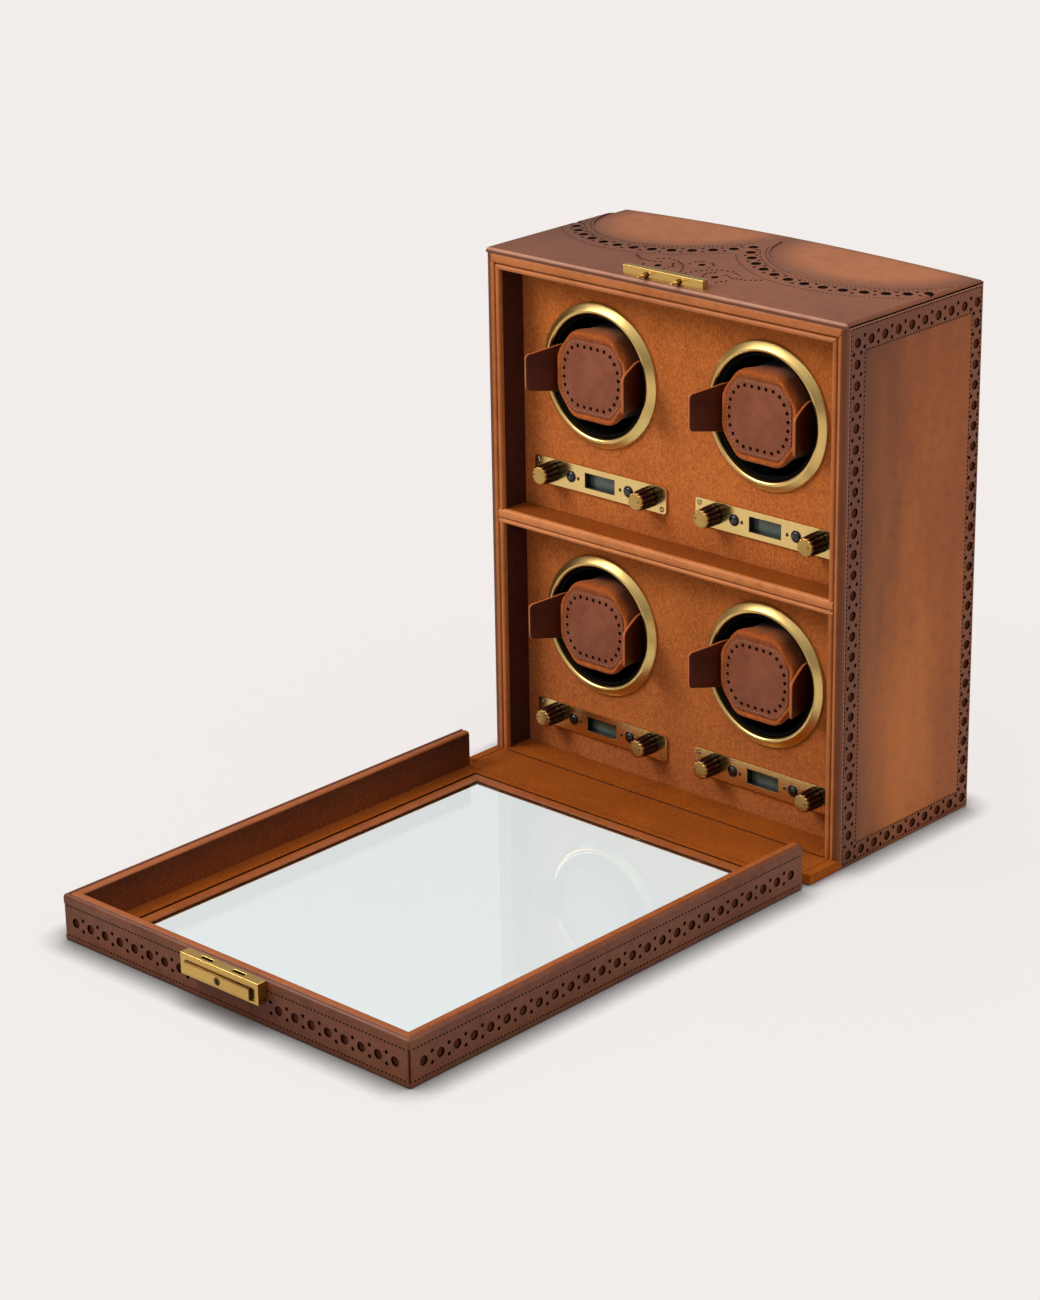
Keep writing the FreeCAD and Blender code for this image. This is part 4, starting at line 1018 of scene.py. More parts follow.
def octagon(inset, count=96, shape=PAD_SHAPE):
    """An outline drawn in by inset: a soft octagon, as (x, z) pairs evenly spaced."""
    w, h, fw, fh, bend = shape
    w, h, fw, fh = w - inset, h - inset, fw - inset * 0.42, fh - inset * 0.40
    corners = [Vector(c) for c in ((w, -fh), (w, fh), (fw, h), (-fw, h), (-w, fh), (-w, -fh), (-fw, -h), (fw, -h))]
    reach = min(bend, (w + h) * 0.14)
    path = []
    for i, corner in enumerate(corners):
        a = corner + (corners[i - 1] - corner).normalized() * reach
        b = corner + (corners[(i + 1) % 8] - corner).normalized() * reach
        path += rounded(a, corner, b, 6)
    lengths = [0.0]
    closed = path + [path[0]]
    for p, q in zip(closed, closed[1:]):
        lengths.append(lengths[-1] + (q - p).length)
    spots = []
    for i in range(count):
        goal = lengths[-1] * i / count
        k = max(j for j in range(len(path)) if lengths[j] <= goal + 1e-9)
        share = (goal - lengths[k]) / max(lengths[k + 1] - lengths[k], 1e-9)
        spots.append(closed[k].lerp(closed[k + 1], share))
    return spots


PAD_STEPS = [(5.0, 60.6), (1.6, 60.0), (1.0, 57.0), (1.0, 30.0), (-0.4, 22.0), (-0.7, 18.6), (-0.1, 16.2),
             (1.0, 15.0), (2.2, 15.0), (3.4, 16.0), (4.6, 17.4)]     # (inset, depth) from the back to the front
SEAT = 16.9            # depth of the face plate's seat in the pad
SEAT_DOME = 0.9        # how far the seat rises towards its middle
SEAT_RUN = 14.0        # over this distance
ROLL = 2.4             # width of the roll round the seat


def pad_mesh(count=96):
    """A closed body from the steps, capped at both ends."""
    points = [(p.x, FRONT + depth, p.y) for inset, depth in PAD_STEPS for p in octagon(inset, count)]
    return mesh_of("pad", points, rings_to_faces(len(PAD_STEPS), count, caps=True))


def edge_inset(x, z):
    """How far a place lies inside the cuff's outline. The slope joins the ends of its side and its top."""
    x, z = abs(x), abs(z)
    slope = ((CUFF_W / 2 - x) * 18.0 + (14.8 - z) * 14.4) / 23.05
    return min(CUFF_W / 2 - x, CUFF_H / 2 - z, slope)


def pressed(obj):
    """The face plate is sewn down, so it pulls the pad's middle in and leaves a full roll round it."""
    for vert in obj.data.vertices:
        x, depth, z = vert.co.x / MM, vert.co.y / MM - FRONT, vert.co.z / MM
        inset = edge_inset(x, z)
        if depth < 30 and inset > ROLL:
            seat = SEAT - SEAT_DOME * min(1.0, (inset - ROLL) / SEAT_RUN)
            share = min(1.0, (inset - ROLL) / 1.4)
            goal = depth + (seat - depth) * share * share * (3 - 2 * share)
            vert.co.y = (FRONT + max(goal, depth)) * MM
    return obj


def blow_up(obj):
    """Swell the pad with air, then keep each point within reach of where it started."""
    rest = [v.co.copy() for v in obj.data.vertices]
    cloth = obj.modifiers.new("cloth", "CLOTH")
    cloth.settings.use_pressure = True
    cloth.settings.uniform_pressure_force = PRESSURE
    cloth.settings.effector_weights.gravity = 0.0
    cloth.settings.mass = 0.3
    cloth.settings.tension_stiffness = 30.0
    cloth.settings.bending_stiffness = 2.0
    for step in range(1, 21):
        scene.frame_set(step)
    graph = bpy.context.evaluated_depsgraph_get()
    blown = [v.co.copy() for v in obj.evaluated_get(graph).data.vertices]
    obj.modifiers.clear()
    scene.frame_set(1)
    furthest = 0.0
    for vert, start, end in zip(obj.data.vertices, rest, blown):
        step = end - start
        furthest = max(furthest, step.length)
        if step.length > SWELL * MM:
            step *= SWELL * MM / step.length
        vert.co = start + step
    print("pad swelled by up to", round(furthest / MM, 1), "mm, kept to", SWELL)


pad = new_piece("pad_pattern", pad_mesh(), pad_suede, 180)
finished(pad, ("REMESH", {"mode": "VOXEL", "voxel_size": VOXEL * MM}))
blow_up(pad)
finished(pressed(pad), ("SUBSURF", {"levels": 1}))
pad_data = pad.data
pad_data.polygons.foreach_set("use_smooth", [True] * len(pad_data.polygons))
bpy.data.objects.remove(pad)

# %% [markdown]
# The face plate is a thin piece of calf with a pinked edge, a line of pale stitches and a row of punched dots.
# It lies in the pad's seat and is slightly domed. Its middle is bare.

# %% Face plate
PLATE_THICK = 0.9
TEETH, TOOTH = 92, 0.9         # number and depth of the edge's teeth


def pinked():
    """The plate's outline with a zigzag edge."""
    spots = octagon(0.0, TEETH * 2, PLATE_SHAPE)
    return [(p.x * (1 - (i % 2) * TOOTH / 25), p.y * (1 - (i % 2) * TOOTH / 25)) for i, p in enumerate(spots)]


def plate_front(x, z):
    """Depth of the plate's visible face, which follows the seat and not each dent of the foam."""
    inset = edge_inset(x, z)
    return SEAT - SEAT_DOME * min(1.0, max(0.0, inset - ROLL) / SEAT_RUN) - PLATE_THICK


def plate_layer(mesh, back):
    cuts = [(axis, line) for axis in (0, 1) for line in range(-28, 29, 4)]
    return bent(mesh, cuts, lambda x, z, w: at(x, plate_front(x, z) + back - w, z))


dots = [(p.x, p.y, 1.4) for p in octagon(0.0, 26, DOT_SHAPE)]
plate_mesh = plate_layer(slab("face_plate", pinked(), dots, PLATE_THICK, 0.12), 0.0)
plate_under = plate_layer(slab("plate_under", octagon(2.0, 96, PLATE_SHAPE), [], 0.15, 0.03), PLATE_THICK - 0.2)


def cuff_rows():
    spots = octagon(0.0, 64, THREAD_SHAPE)
    pairs = zip(spots, spots[1:] + spots[:1])
    return [([at(p.x, plate_front(p.x, p.y), p.y) for p in pair], (0, -1, 0)) for pair in pairs]


# %% [markdown]
# Two sprung wings of stiff dark leather stand out at the cuff's sides. They hold the watch's strap. A wing is a
# rounded band that leans outwards and narrows to its tip, with a paler painted edge.

# %% Wings
WING_PATH = [(34.55, 50.0), (34.6, 42.0), (34.9, 34.0), (35.9, 28.0), (37.3, 22.0), (39.6, 15.0), (42.3, 7.5),
             (45.0, 0.8), (46.9, -3.6)]      # (x, depth) from the root to the tip
WING_BEND = 4          # the band narrows from this point of its path
WING_THICK = 2.2
WING_HALF, WING_TIP_HALF = 17.6, 13.4
TIP_ROUND = 3.4
PLUG = [(19.8, 60.0), (19.8, 80.6), (19.2, 81.2)]       # eight-sided, it fits the drum's socket
WING_LENGTHS = [0.0]   # along the path, up to each of its points
for a, b in zip(WING_PATH, WING_PATH[1:]):
    WING_LENGTHS.append(WING_LENGTHS[-1] + (Vector(b) - Vector(a)).length)


def wing_outline():
    """The band laid flat: straight at its root, narrowing from the bend to a rounded tip."""
    bend = Vector((WING_LENGTHS[WING_BEND], WING_HALF))
    corner = Vector((WING_LENGTHS[-1], WING_TIP_HALF))
    before = corner + (bend - corner).normalized() * TIP_ROUND
    after = corner + Vector((0, -1)) * TIP_ROUND
    upper = [(0.0, WING_HALF), tuple(bend)] + [tuple(p) for p in rounded(before, corner, after, 8)]
    return [(u, -v) for u, v in upper] + [(u, v) for u, v in reversed(upper)]


def on_wing(u, w, hand):
    """The place on the wing's path this far along it and this far out from its middle."""
    k = max([0] + [i for i in range(len(WING_PATH) - 1) if WING_LENGTHS[i] <= u])
    share = (u - WING_LENGTHS[k]) / (WING_LENGTHS[k + 1] - WING_LENGTHS[k])
    directions = []
    for i in (k, k + 1):
        before, after = Vector(WING_PATH[max(i - 1, 0)]), Vector(WING_PATH[min(i + 1, len(WING_PATH) - 1)])
        directions.append((after - before).normalized())
    along = directions[0].lerp(directions[1], share).normalized()
    spot = Vector(WING_PATH[k]).lerp(Vector(WING_PATH[k + 1]), share) + Vector((-along.y, along.x)) * w
    return hand * spot.x, spot.y


def wing_mesh(hand):
    mesh = slab("wing", wing_outline(), [], WING_THICK, 0.6)
    mesh.polygons.foreach_set("material_index", [1 if abs(p.normal.z) < 0.8 else 0 for p in mesh.polygons])

    def place(u, v, w):
        x, depth = on_wing(u, w + WING_THICK / 2, hand)
        return at(x, depth, v)

    mesh = bent(mesh, [(0, u) for u in np.arange(1.5, WING_LENGTHS[-1], 1.8)], place)
    if hand > 0:
        mesh.flip_normals()
    return mesh


for name, (x, floor) in UNITS.items():
    axis = {"x": x, "z": floor + AXIS_RISE}
    body = "cuff_" + name
    cover = fitted("cuff_pad_" + name, pad_data.copy(), pad_suede, 180, body, "suede_cuff", body, **axis)
    fitted("cuff_plate_" + name, plate_mesh.copy(), [plate_calf, cut_edge_and_shade], 40, body, "leather_dark", **axis)
    fitted("plate_under_" + name, plate_under.copy(), cut_edge_and_shade, 40, body, "leather_dark", **axis)
    line = stitches("cuff_stitches_" + name, cuff_rows(), thread_pale, 1.3, 0.55, 0.2)
    install(moved(line, **axis), body, "leather_dark")
    for hand, word in HANDS:
        fitted("cuff_wing_%s_%s" % (word, name), wing_mesh(hand), [wing_calf, edge_paint], 60, body, "leather_dark",
               "cuff_wings_" + name, **axis)
    fitted("cuff_plug_" + name, turned(PLUG, 8, closed=False), black, 30, body, "black_plastic", **axis)
print("pad faces", len(pad_data.polygons))

# %% [markdown]
# ## Control plates
#
# Each unit has a brass plate with two fluted knobs, two domed buttons, two small lamps and a sunk display. The
# display shows nothing. Two slotted screws hold the plate.

# %% Plates
PLATE_FACE = 24.0
PLATE_W, PLATE_H, PLATE_R = 64.0, 10.25, 2.6       # half sizes and corner radius
KNOB_X, BUTTON_X = 47.0, 28.0
WINDOW_W, WINDOW_H = 14.5, 5.75        # half sizes of the display's window
LAMPS = ((-21.1, -0.4), (19.9, -0.4))  # (x, z) from the plate's middle
SCREW_X, SCREW_DROP, SCREW_TURN = 60.0, 6.7, 0.9   # the last is the turn of the slot, in radians


def plate_outline():
    w, h, r = PLATE_W, PLATE_H, PLATE_R
    points = []
    for cx, cy, first in ((w - r, -h + r, -90), (w - r, h - r, 0), (-w + r, h - r, 90), (-w + r, -h + r, 180)):
        for k in range(7):
            a = math.radians(first + 15 * k)
            points.append((cx + r * math.cos(a), cy + r * math.sin(a)))
    return points


def control_plate():
    holes = [(s * KNOB_X, 0, 3.3) for s in (-1, 1)] + [(s * BUTTON_X, 0, 3.6) for s in (-1, 1)]
    holes += [(u, v, 1.25) for u, v in LAMPS]
    window = [(-WINDOW_W, -WINDOW_H), (-WINDOW_W, WINDOW_H), (WINDOW_W, WINDOW_H), (WINDOW_W, -WINDOW_H)]
    mesh = slab("control_plate", plate_outline(), holes, 2.0, 0.25, [window])
    return laid(mesh, (0, FRONT + PLATE_FACE, 0), (0, -1, 0))


def window_walls():
    """The dark walls of the well between the plate's window and the display."""
    rings = []
    for shrink, depth in ((0.02, 24.3), (0.35, 24.3), (0.5, 29.4), (0.02, 29.4)):
        w, h = WINDOW_W - shrink, WINDOW_H - shrink
        rings += [at(x, depth, z) for x, z in ((-w, -h), (w, -h), (w, h), (-w, h))]
    return mesh_of("window_walls", rings, rings_to_faces(4, 4, closed=True))


# %% Knobs, buttons, screws and lamps
GRIP_STEPS = [(7.4, 23.6), (7.9, 23.2), (8.0, 22.4), (7.9, 20.8), (7.5, 15.0), (7.2, 12.2), (6.9, 11.5),
              (6.4, 11.3)]
CAP_STEPS = [(6.4, 11.6), (6.75, 11.2), (6.8, 9.9), (6.6, 9.45), (6.2, 9.25), (5.8, 9.18), (3.0, 9.12)]
POINTER_SECTION = [(0.75, 9.4), (0.75, 9.08), (0.4, 9.05)]
BUTTON_SECTION = [(3.5, 26.0), (3.5, 23.7), (3.3, 23.1), (2.7, 22.65), (1.8, 22.45), (0.7, 22.4)]
SCREW_SECTION = [(1.55, 24.4), (1.55, 23.75), (1.3, 23.6), (0.5, 23.55)]
SCREW_RING = [(2.1, 24.1), (2.1, 23.9), (1.6, 23.9), (1.6, 24.1)]
COLLAR_SECTION = [(4.6, 24.05), (4.55, 23.75), (4.1, 23.6), (3.65, 23.75), (3.65, 24.05)]
LAMP_SECTION = [(1.2, 24.6), (1.2, 24.0), (0.8, 23.85), (0.3, 23.8)]
LOBES = 12             # flutes of a knob
FLUTE_STEPS = 14       # points to a flute
GRIP_DEEP, CAP_DEEP = 0.24, 0.10       # depth of the flutes as a share of the radius


def fluted(steps, deep):
    """A round body whose side has flutes. steps holds (radius, depth) pairs."""
    count = LOBES * FLUTE_STEPS
    points = []
    for radius, depth in steps:
        for i in range(count):
            a = 2 * math.pi * i / count
            flute = 0.5 - 0.5 * math.cos(LOBES * a)
            r = radius * (1 - deep * (1 - flute) ** 2.2)
            points.append(at(r * math.cos(a), depth, r * math.sin(a)))
    return mesh_of("fluted", points, rings_to_faces(len(steps), count, caps=True))


def pointer_mesh(hand):
    """A small sunk dot near the cap's edge, to the left on the left knob."""
    return turned(POINTER_SECTION, 16, (-4.2 if hand < 0 else 3.4, 0.4), closed=False)


def screw_slot():
    corners = ((-1.1, -0.22), (1.1, -0.22), (1.1, 0.22), (-1.1, 0.22))
    points = [at(x, d, z) for d in (23.45, 23.6) for x, z in corners]
    return mesh_of("slot", points, rings_to_faces(2, 4, caps=True))


for name, (x, floor) in UNITS.items():
    z = floor + PLATE_RISE
    fitted("control_plate_" + name, control_plate(), gold_plate, 40, "cabinet", "brass", "control_plates", x=x, z=z)
    fitted("window_walls_" + name, window_walls(), black, 30, "cabinet", "black_plastic", x=x, z=z)
    for hand, word in HANDS:
        end = "_%s_%s" % (name, word)
        knob, button = "knob" + end, "button" + end
        axis = {"x": x + hand * KNOB_X, "z": z}
        fitted("grip_" + knob, fluted(GRIP_STEPS, GRIP_DEEP), knob_brown, 60, knob, "dark_plastic", knob, **axis)
        fitted("cap_" + knob, fluted(CAP_STEPS, CAP_DEEP), gold_cap, 40, knob, "brass", **axis)
        fitted("pointer_" + knob, pointer_mesh(hand), black, 30, knob, "black_plastic", **axis)
        axis = {"x": x + hand * BUTTON_X, "z": z}
        dome = turned(BUTTON_SECTION, 40, closed=False)
        fitted("dome_" + button, dome, button_black, 60, button, "black_plastic", button, **axis)
        fitted("collar_" + button, turned(COLLAR_SECTION, 40), button_black, 50, "cabinet", "black_plastic", **axis)
        axis = {"x": x + hand * SCREW_X, "z": z - hand * SCREW_DROP}
        fitted("screw" + end, turned(SCREW_SECTION, 24, closed=False), gold_plate, 40, "cabinet", "brass", **axis)
        fitted("screw_seat" + end, turned(SCREW_RING, 24), black, 40, "cabinet", "black_plastic", **axis)
        slot = moved(new_piece("screw_slot" + end, screw_slot(), black, 40), **axis)
        slot.rotation_euler.y = SCREW_TURN * hand
        install(slot, "cabinet", "black_plastic")
        u, v = LAMPS[hand > 0]
        bulb = turned(LAMP_SECTION, 20, closed=False)
        fitted("lamp" + end, bulb, button_black, 60, "cabinet", "black_plastic", x=x + u, z=z + v)

# %% [markdown]
# ## Lid
#
# The lid is a tray. Its wall is one section swept along three sides: a rounded top with a crease, a lined inner
# face and a shallow recess outside, in which a punched skin lies. A separate frame carries the glass.

# %% Lid wall
WALL_LOW, WALL_HIGH = 3.4, 27.2        # the punched skin lies between the two stitch lines
LID_CORNER = 1.6
WALL_SECTION = [(0.7, 0.05, 0), (0.05, 0.8, 0), (0.0, WALL_LOW, 0), (1.5, WALL_LOW, 3), (1.5, WALL_HIGH, 0),
                (0.0, WALL_HIGH, 0), (0.0, 31.2, 0), (0.3, 32.5, 0), (1.1, 33.5, 0), (2.1, 33.95, 0),
                (2.8, 34.0, 0), (3.2, 33.9, 0), (3.5, 33.5, 0), (3.6, 32.6, 1), (4.1, 32.6, 1), (4.25, 33.5, 1),
                (4.7, 33.9, 1), (7.2, 33.9, 1), (9.2, 33.5, 1), (9.85, 32.5, 2), (10.0, 31.0, 2),
                (10.0, 6.9, 2), (10.0, 0.05, 2)]
CORNER_STEPS = 5


def wall_stations():
    """Stations from the far left round to the far right, as (hand, turn). At the far ends, turn is None."""
    shares = [k / (CORNER_STEPS - 1) for k in range(CORNER_STEPS)]
    return [(-1, None)] + [(-1, share) for share in shares] + [(1, 1 - share) for share in shares] + [(1, None)]


def wall_point(hand, turn, inset, z):
    if turn is None:
        return (hand * (SIDE - inset), LID_FAR - 0.05, z)
    if inset >= LID_CORNER:
        return (hand * (SIDE - inset), LID_NEAR + inset, z)
    r, angle = LID_CORNER - inset, math.pi / 2 * turn
    return (hand * (SIDE - LID_CORNER + r * math.cos(angle)), LID_NEAR + LID_CORNER - r * math.sin(angle), z)


def lid_wall():
    stations = wall_stations()
    points = [wall_point(*station, inset, z) for station in stations for inset, z, _ in WALL_SECTION]
    kinds = [kind for _, _, kind in WALL_SECTION] * (len(stations) - 1) + [1, 1]
    faces = rings_to_faces(len(stations), len(WALL_SECTION), caps=True)
    return mesh_of("lid_wall", points, faces, kinds, merge=False)


# The lid wall's inner face takes the darker suede as painted shade.
LID_LOOKS = [lid_calf, strip_calf, lining_lid_shaded, backing_and_shade]
fitted("lid_wall", lid_wall(), LID_LOOKS, 50, "lid", "leather", "lid_frame")

# %% Punched skins of the lid
HOLE_Z = 15.3
LID_SKIN = 1.4
SKIN_IN = 1.7          # the skins end this far inside the wall's corners
SKIN_LOW, SKIN_HIGH = WALL_LOW + 0.05, WALL_HIGH - 0.05
FIRST_HOLE, LAST_HOLE, NEXT_PAIR = 152.3, 47.3, 7.5     # from the middle, and on from the last hole
SIDE_ROW_IN = 12.7     # the side rows keep this far from both ends


def near_holes():
    """Two rows that leave the middle bare for the lock, each ending in a pair of small holes."""
    holes = []
    for hand in (-1, 1):
        holes += row((hand * FIRST_HOLE, HOLE_Z), (hand * LAST_HOLE, HOLE_Z), 8)
        holes += [(hand * (LAST_HOLE - NEXT_PAIR), HOLE_Z + off, SMALL_R) for off in (PAIR, -PAIR)]
    return holes


outline = rectangle(-SIDE + SKIN_IN, SIDE - SKIN_IN, SKIN_LOW, SKIN_HIGH)
near = laid(slab("lid_skin_near", outline, near_holes(), LID_SKIN), (0, LID_NEAR, 0), (0, -1, 0))
fitted("lid_skin_near", near, [lid_calf, cut_edge_and_shade], 30, "lid", "leather")
side_row = row((LID_NEAR + SIDE_ROW_IN, HOLE_Z), (LID_FAR - SIDE_ROW_IN, HOLE_Z), 25)
outline = rectangle(LID_NEAR + SKIN_IN, LID_FAR - 0.1, SKIN_LOW, SKIN_HIGH)
for hand, word in HANDS:
    skin = laid(slab("lid_skin_" + word, outline, side_row, LID_SKIN), (hand * SIDE, 0, 0), (hand, 0, 0))
    fitted("lid_skin_" + word, skin, [lid_calf, cut_edge_and_shade], 30, "lid", "leather")
print("lid holes", len(near_holes()) + 2 * len(side_row))

# %% Stitches of the lid
lid_rows = []
for z in (WALL_LOW + 0.9, WALL_HIGH - 0.6):
    for hand in (-1, 1):
        lid_rows.append(([(hand * SIDE, LID_NEAR + 3, z), (hand * SIDE, LID_FAR - 2, z)], (hand, 0, 0)))
    lid_rows.append(([(-SIDE + 3, LID_NEAR, z), (SIDE - 3, LID_NEAR, z)], (0, -1, 0)))
install(stitches("lid_stitches", lid_rows, thread), "lid", "leather")

# %% [markdown]
# ## Glass frame
#
# Inside the wall lies a flat suede frame with a rebate for the glass. A leather bead slopes down onto the pane.

# %% Frame and bead of the glass
FRAME_SECTION = [(0.0, 0.05), (0.0, 6.9), (0.03, 7.0), (0.75, 7.0), (0.78, 6.8), (0.79, 6.4), (0.79, 1.2),
                 (1.294, 1.2), (1.294, 0.05)]        # (share of the frame's width, z)
BEAD_SECTION = [(-1.9, 1.25), (-1.9, 5.8), (-1.6, 6.4), (-1.0, 6.65), (0.6, 6.6), (1.9, 6.3), (3.4, 5.8),
                (4.5, 5.4), (4.95, 5.1), (5.0, 4.7), (5.0, 4.25), (1.3, 4.25), (1.3, 1.25)]     # (inset, z)
FRAME_W, FRAME_FAR_W = 17, 10.35       # width of the frame at its sides, and at the hinge


def four_corners(x, near_y, far_y, z):
    return [(-x, near_y, z), (x, near_y, z), (x, far_y, z), (-x, far_y, z)]


def frame_ring():
    """Corners of the frame at each point of its section. Share 0 is the wall, and 1 is the edge of the opening."""
    points = []
    for share, z in FRAME_SECTION:
        inset = LID_WALL + FRAME_W * share
        far_y = LID_FAR - 0.05 - FRAME_FAR_W * share if share <= 1 else LID_FAR - 10.4 - FRAME_W * (share - 1)
        points += four_corners(SIDE - inset, LID_NEAR + inset, far_y, z)
    return points


def bead_ring():
    points = []
    for inset, z in BEAD_SECTION:
        points += four_corners(138 - inset, -480 + inset, -127.2 - (inset if inset > 0 else 0.3 * inset), z)
    return points


# The groove's wall and the rebate's floor take the near-black calf: painted shade.
frame_kinds = [int(i in (5, 6)) for i in range(len(FRAME_SECTION)) for _ in range(4)]
frame_faces = rings_to_faces(len(FRAME_SECTION), 4, closed=True)
glass_frame = mesh_of("glass_frame", frame_ring(), frame_faces, frame_kinds, False)
fitted("glass_frame", glass_frame, [floor_suede, cut_edge_and_shade], 40, "lid", "suede")
bead = mesh_of("glass_bead", bead_ring(), rings_to_faces(len(BEAD_SECTION), 4, closed=True), merge=False)
fitted("glass_bead", bead, strip_calf, 50, "lid", "suede", "lid_bead")

# %% [markdown]
# ## Lock, strike plate and hinge
#
# These are cut from solid brass, so they keep their CAD forms with the edges broken. The lock bar's top and right
# sides are darker brass, painted shade of the slot that the bar slides in. A dark disc with a slot is the key's
# face. The hooks are drawn thinner than in the frame, and each stands in a small collar.

# %% Brass fittings
dressed("lock_case_brass", "lock_case", gold_lock, 0.3, "lid", "brass")
bar = dressed("lock_bar_brass", "lock_bar", [gold_lock, antique_brass_and_shade], 0.25, "lock_bar", "brass")
# The bar's top and right sides take the dark brass: painted shade of its slot.
edges = [1 if p.normal.z > 0.3 or p.normal.x > 0.3 else 0 for p in bar.data.polygons]
bar.data.polygons.foreach_set("material_index", edges)
dressed("lock_key_steel", "lock_cylinder", antique_brass_and_shade, 0.15, "lock_key", "brass")
HOOK_X, HOOK_Z = 15, TOP + 3.8
HOOK_COLLAR = [(2.2, 4.9), (2.2, 3.7), (1.8, 3.1), (1.2, 2.9), (0.4, 2.85)]


def slim(x, y, z):
    """The hooks taper to their ends. What isn't a hook stays as it is."""
    if y > FRONT + 4.6 or abs(abs(x) - HOOK_X) > 6:
        return x, y, z
    middle = math.copysign(HOOK_X, x)
    return middle + (x - middle) * (0.26 if y > FRONT else 0.2), y, HOOK_Z + (z - HOOK_Z) * 0.8


dressed("strike_brass", "strike_plate", gold_lock, 0.35, "cabinet", "brass", slim)
for hand, word in HANDS:
    collar = turned(HOOK_COLLAR, 24, closed=False)
    fitted("hook_collar_" + word, collar, antique_brass_and_shade, 50, "cabinet", "brass", x=hand * HOOK_X, z=HOOK_Z)

# %% [markdown]
# ## Leather over the hinge
#
# A strip of leather is glued to the flap and to the lid's frame. It hides the hinge. On the winder it folds when
# the lid shuts; here it is one still piece, made lying open.

# %% Gusset
GUSSET_PATH = [(-106.0, 7.55), (-107.6, 7.6), (-108.6, 7.5), (-110.4, 7.1), (-112.4, 6.85), (-114.6, 6.95),
               (-116.6, 7.15), (-118.2, 7.12), (-120.0, 7.1)]      # (y, z) of its middle line
GUSSET_THICK = 0.55
GUSSET_HALF = 154.6


def gusset_mesh(count=24):
    half = GUSSET_THICK / 2
    outline = [(y, z + half) for y, z in GUSSET_PATH] + [(y, z - half) for y, z in reversed(GUSSET_PATH)]
    points = [(x, y, z) for x in np.linspace(-GUSSET_HALF, GUSSET_HALF, count) for y, z in outline]
    return mesh_of("gusset", points, rings_to_faces(count, len(outline), caps=True))


gusset = new_piece("gusset", gusset_mesh(), floor_suede, 60)
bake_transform(gusset)

# %% [markdown]
# ## Power inlet
#
# The only thing on the back is the round socket for the adapter's plug.

# %% Inlet
INLET_SECTION = [(5.75, 143.2), (5.75, 154.6), (8.0, 155.0), (8.0, 155.8), (7.7, 156.15), (3.3, 156.2),
                 (2.9, 155.9), (2.9, 147.3)]
PIN_SECTION = [(1.0, 147.4), (1.0, 154.0), (0.6, 154.5)]
INLET_Z = 40.0
body_mesh, pin_mesh = turned(INLET_SECTION, 48, closed=False), turned(PIN_SECTION, 24, closed=False)
fitted("inlet_body", body_mesh, black, 40, "cabinet", "black_plastic", "power_inlet", z=INLET_Z)
fitted("inlet_pin", pin_mesh, steel, 40, "cabinet", "steel", z=INLET_Z)

# %% [markdown]
# ## Floor and light
#
# The photograph was taken on pale paper under broad, soft light from above. A wide paper floor, an even sky and
# soft lamps give the same: bright tops, a warm field on the side and only a faint shadow on the floor. Close to the
# object the paper's plain colour is darkened as a painted contact shadow, and where it is seen through the lid's
# glass it is painted a little brighter.

# %% Stage
PAPER = rgb(242, 237, 234)
GLOW = 0.86            # share of the paper that is seen in its own flat colour
# The plain paper darkens close to the object: a painted contact shadow.
SHADE_REACH = 0.024    # metres from the object within which that colour darkens
SHADE_POWER = 2.6
# Painted light: the paper is brighter where it is seen through the pane.
PANE_GLOW, PANE_LIGHT = 0.10, 0.06     # what the paper gains where it is seen through the pane
FLOOR_HALF, FLOOR_DROP = 15, 0.0003    # metres


def paper():
    """Paper whose tone is part plain backdrop and part lit, so the shadows on it stay but are faint. Its plain part
    has a painted contact shadow near the object, and painted light where it is seen through the pane.
    """
    s = Surface("paper_floor", Roughness=1.0, Specular_IOR_Level=0.0)
    fibre = s.noise(s.place(), 400.0, 2.0)
    s.feed(Base_Color=s.mix(rgb(236, 231, 228), rgb(232, 227, 224), fibre))
    behind = s.ray("Is Transmission Ray")
    seen = (s.ray("Is Camera Ray") + s.ray("Is Glossy Ray") + behind).least(1.0)
    near = s.add("ShaderNodeAmbientOcclusion", {"samples": 8}, {"Distance": SHADE_REACH}, 1)
    # Ambient occlusion darkens the plain paper as a painted contact shadow; seen through the pane it gains painted
    # light.
    plain = s.add("ShaderNodeEmission", {}, [PAPER, (near ** SHADE_POWER).most(behind) + behind * PANE_LIGHT])
    return s.over(seen * (behind * PANE_GLOW + GLOW), plain)


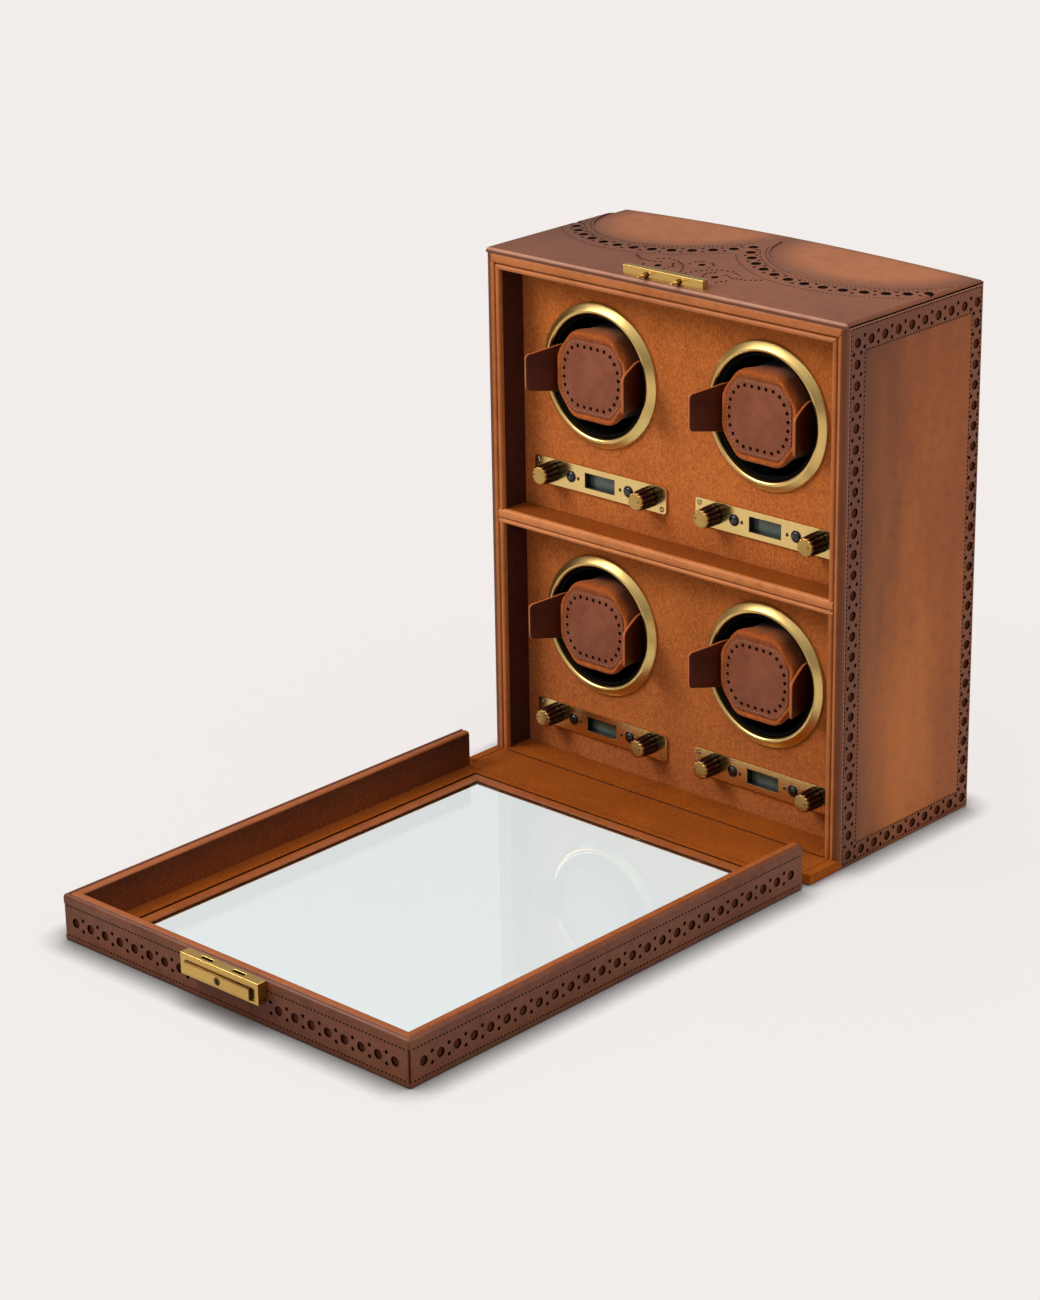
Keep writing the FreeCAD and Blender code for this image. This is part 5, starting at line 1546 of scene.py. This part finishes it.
ground = bpy.data.meshes.new("floor")
ground.from_pydata([(x * FLOOR_HALF, y * FLOOR_HALF, -FLOOR_DROP) for x, y in ((-1, -1), (1, -1), (1, 1), (-1, 1))],
                   [], [(0, 1, 2, 3)])
floor_obj = new_piece("floor", ground, paper())

# %% Sky
SKY_LOW, SKY_RISE = 0.16, 0.62     # strength at the horizon, and what it gains overhead


def sky():
    """An even sky that is brighter overhead. A camera sees it in the colour of the paper."""
    world = bpy.data.worlds.new("sky")
    nodes = Nodes(world)
    rise = nodes.add("ShaderNodeTexCoord", {}, [], "Generated").part(2).ramp(0.0, 0.8)
    lit = nodes.add("ShaderNodeBackground", {}, [(1.0, 0.99, 0.975, 1.0), rise * SKY_RISE + SKY_LOW])
    backdrop = nodes.add("ShaderNodeBackground", {}, [PAPER, 1.0])
    nodes.show(nodes.ray("Is Camera Ray"), lit, backdrop, "World Output")
    return world


scene.world = sky()

# %% Lamps
lit_pieces = bpy.data.collections.new("not_the_floor")
lit_pieces.objects.link(floor_obj)
lit_pieces.collection_objects[0].light_linking.link_state = "EXCLUDE"


def lamp(name, kind, energy, direction, spot=(0, 0, 0), **settings):
    """A lamp that shines along a direction."""
    data = bpy.data.lights.new(name, kind)
    data.energy = energy
    for key, value in settings.items():
        setattr(data, key, value)
    obj = bpy.data.objects.new(name, data)
    scene.collection.objects.link(obj)
    obj.location = spot
    obj.rotation_euler = Vector(direction).to_track_quat("-Z", "Y").to_euler()
    return obj


def box_lamp(name, energy, size, spot, target):
    """A soft box near the object. The paper is lit by the sky alone, as its shadow in the photograph is faint."""
    spot, target = Vector(spot), Vector(target)
    obj = lamp(name, "AREA", energy, target - spot, spot, shape="RECTANGLE", size=size[0], size_y=size[1])
    obj.light_linking.receiver_collection = lit_pieces
    return obj


lamp("overhead", "SUN", 1.35, (0.05, 0.12, -1.0), angle=math.radians(80))
box_lamp("key", 34, (0.9, 0.9), (-1.1, -1.35, 1.55), (0.0, -0.1, 0.2))
box_lamp("right", 12, (0.5, 1.2), (1.6, 0.35, 0.9), (0.16, 0.0, 0.2))
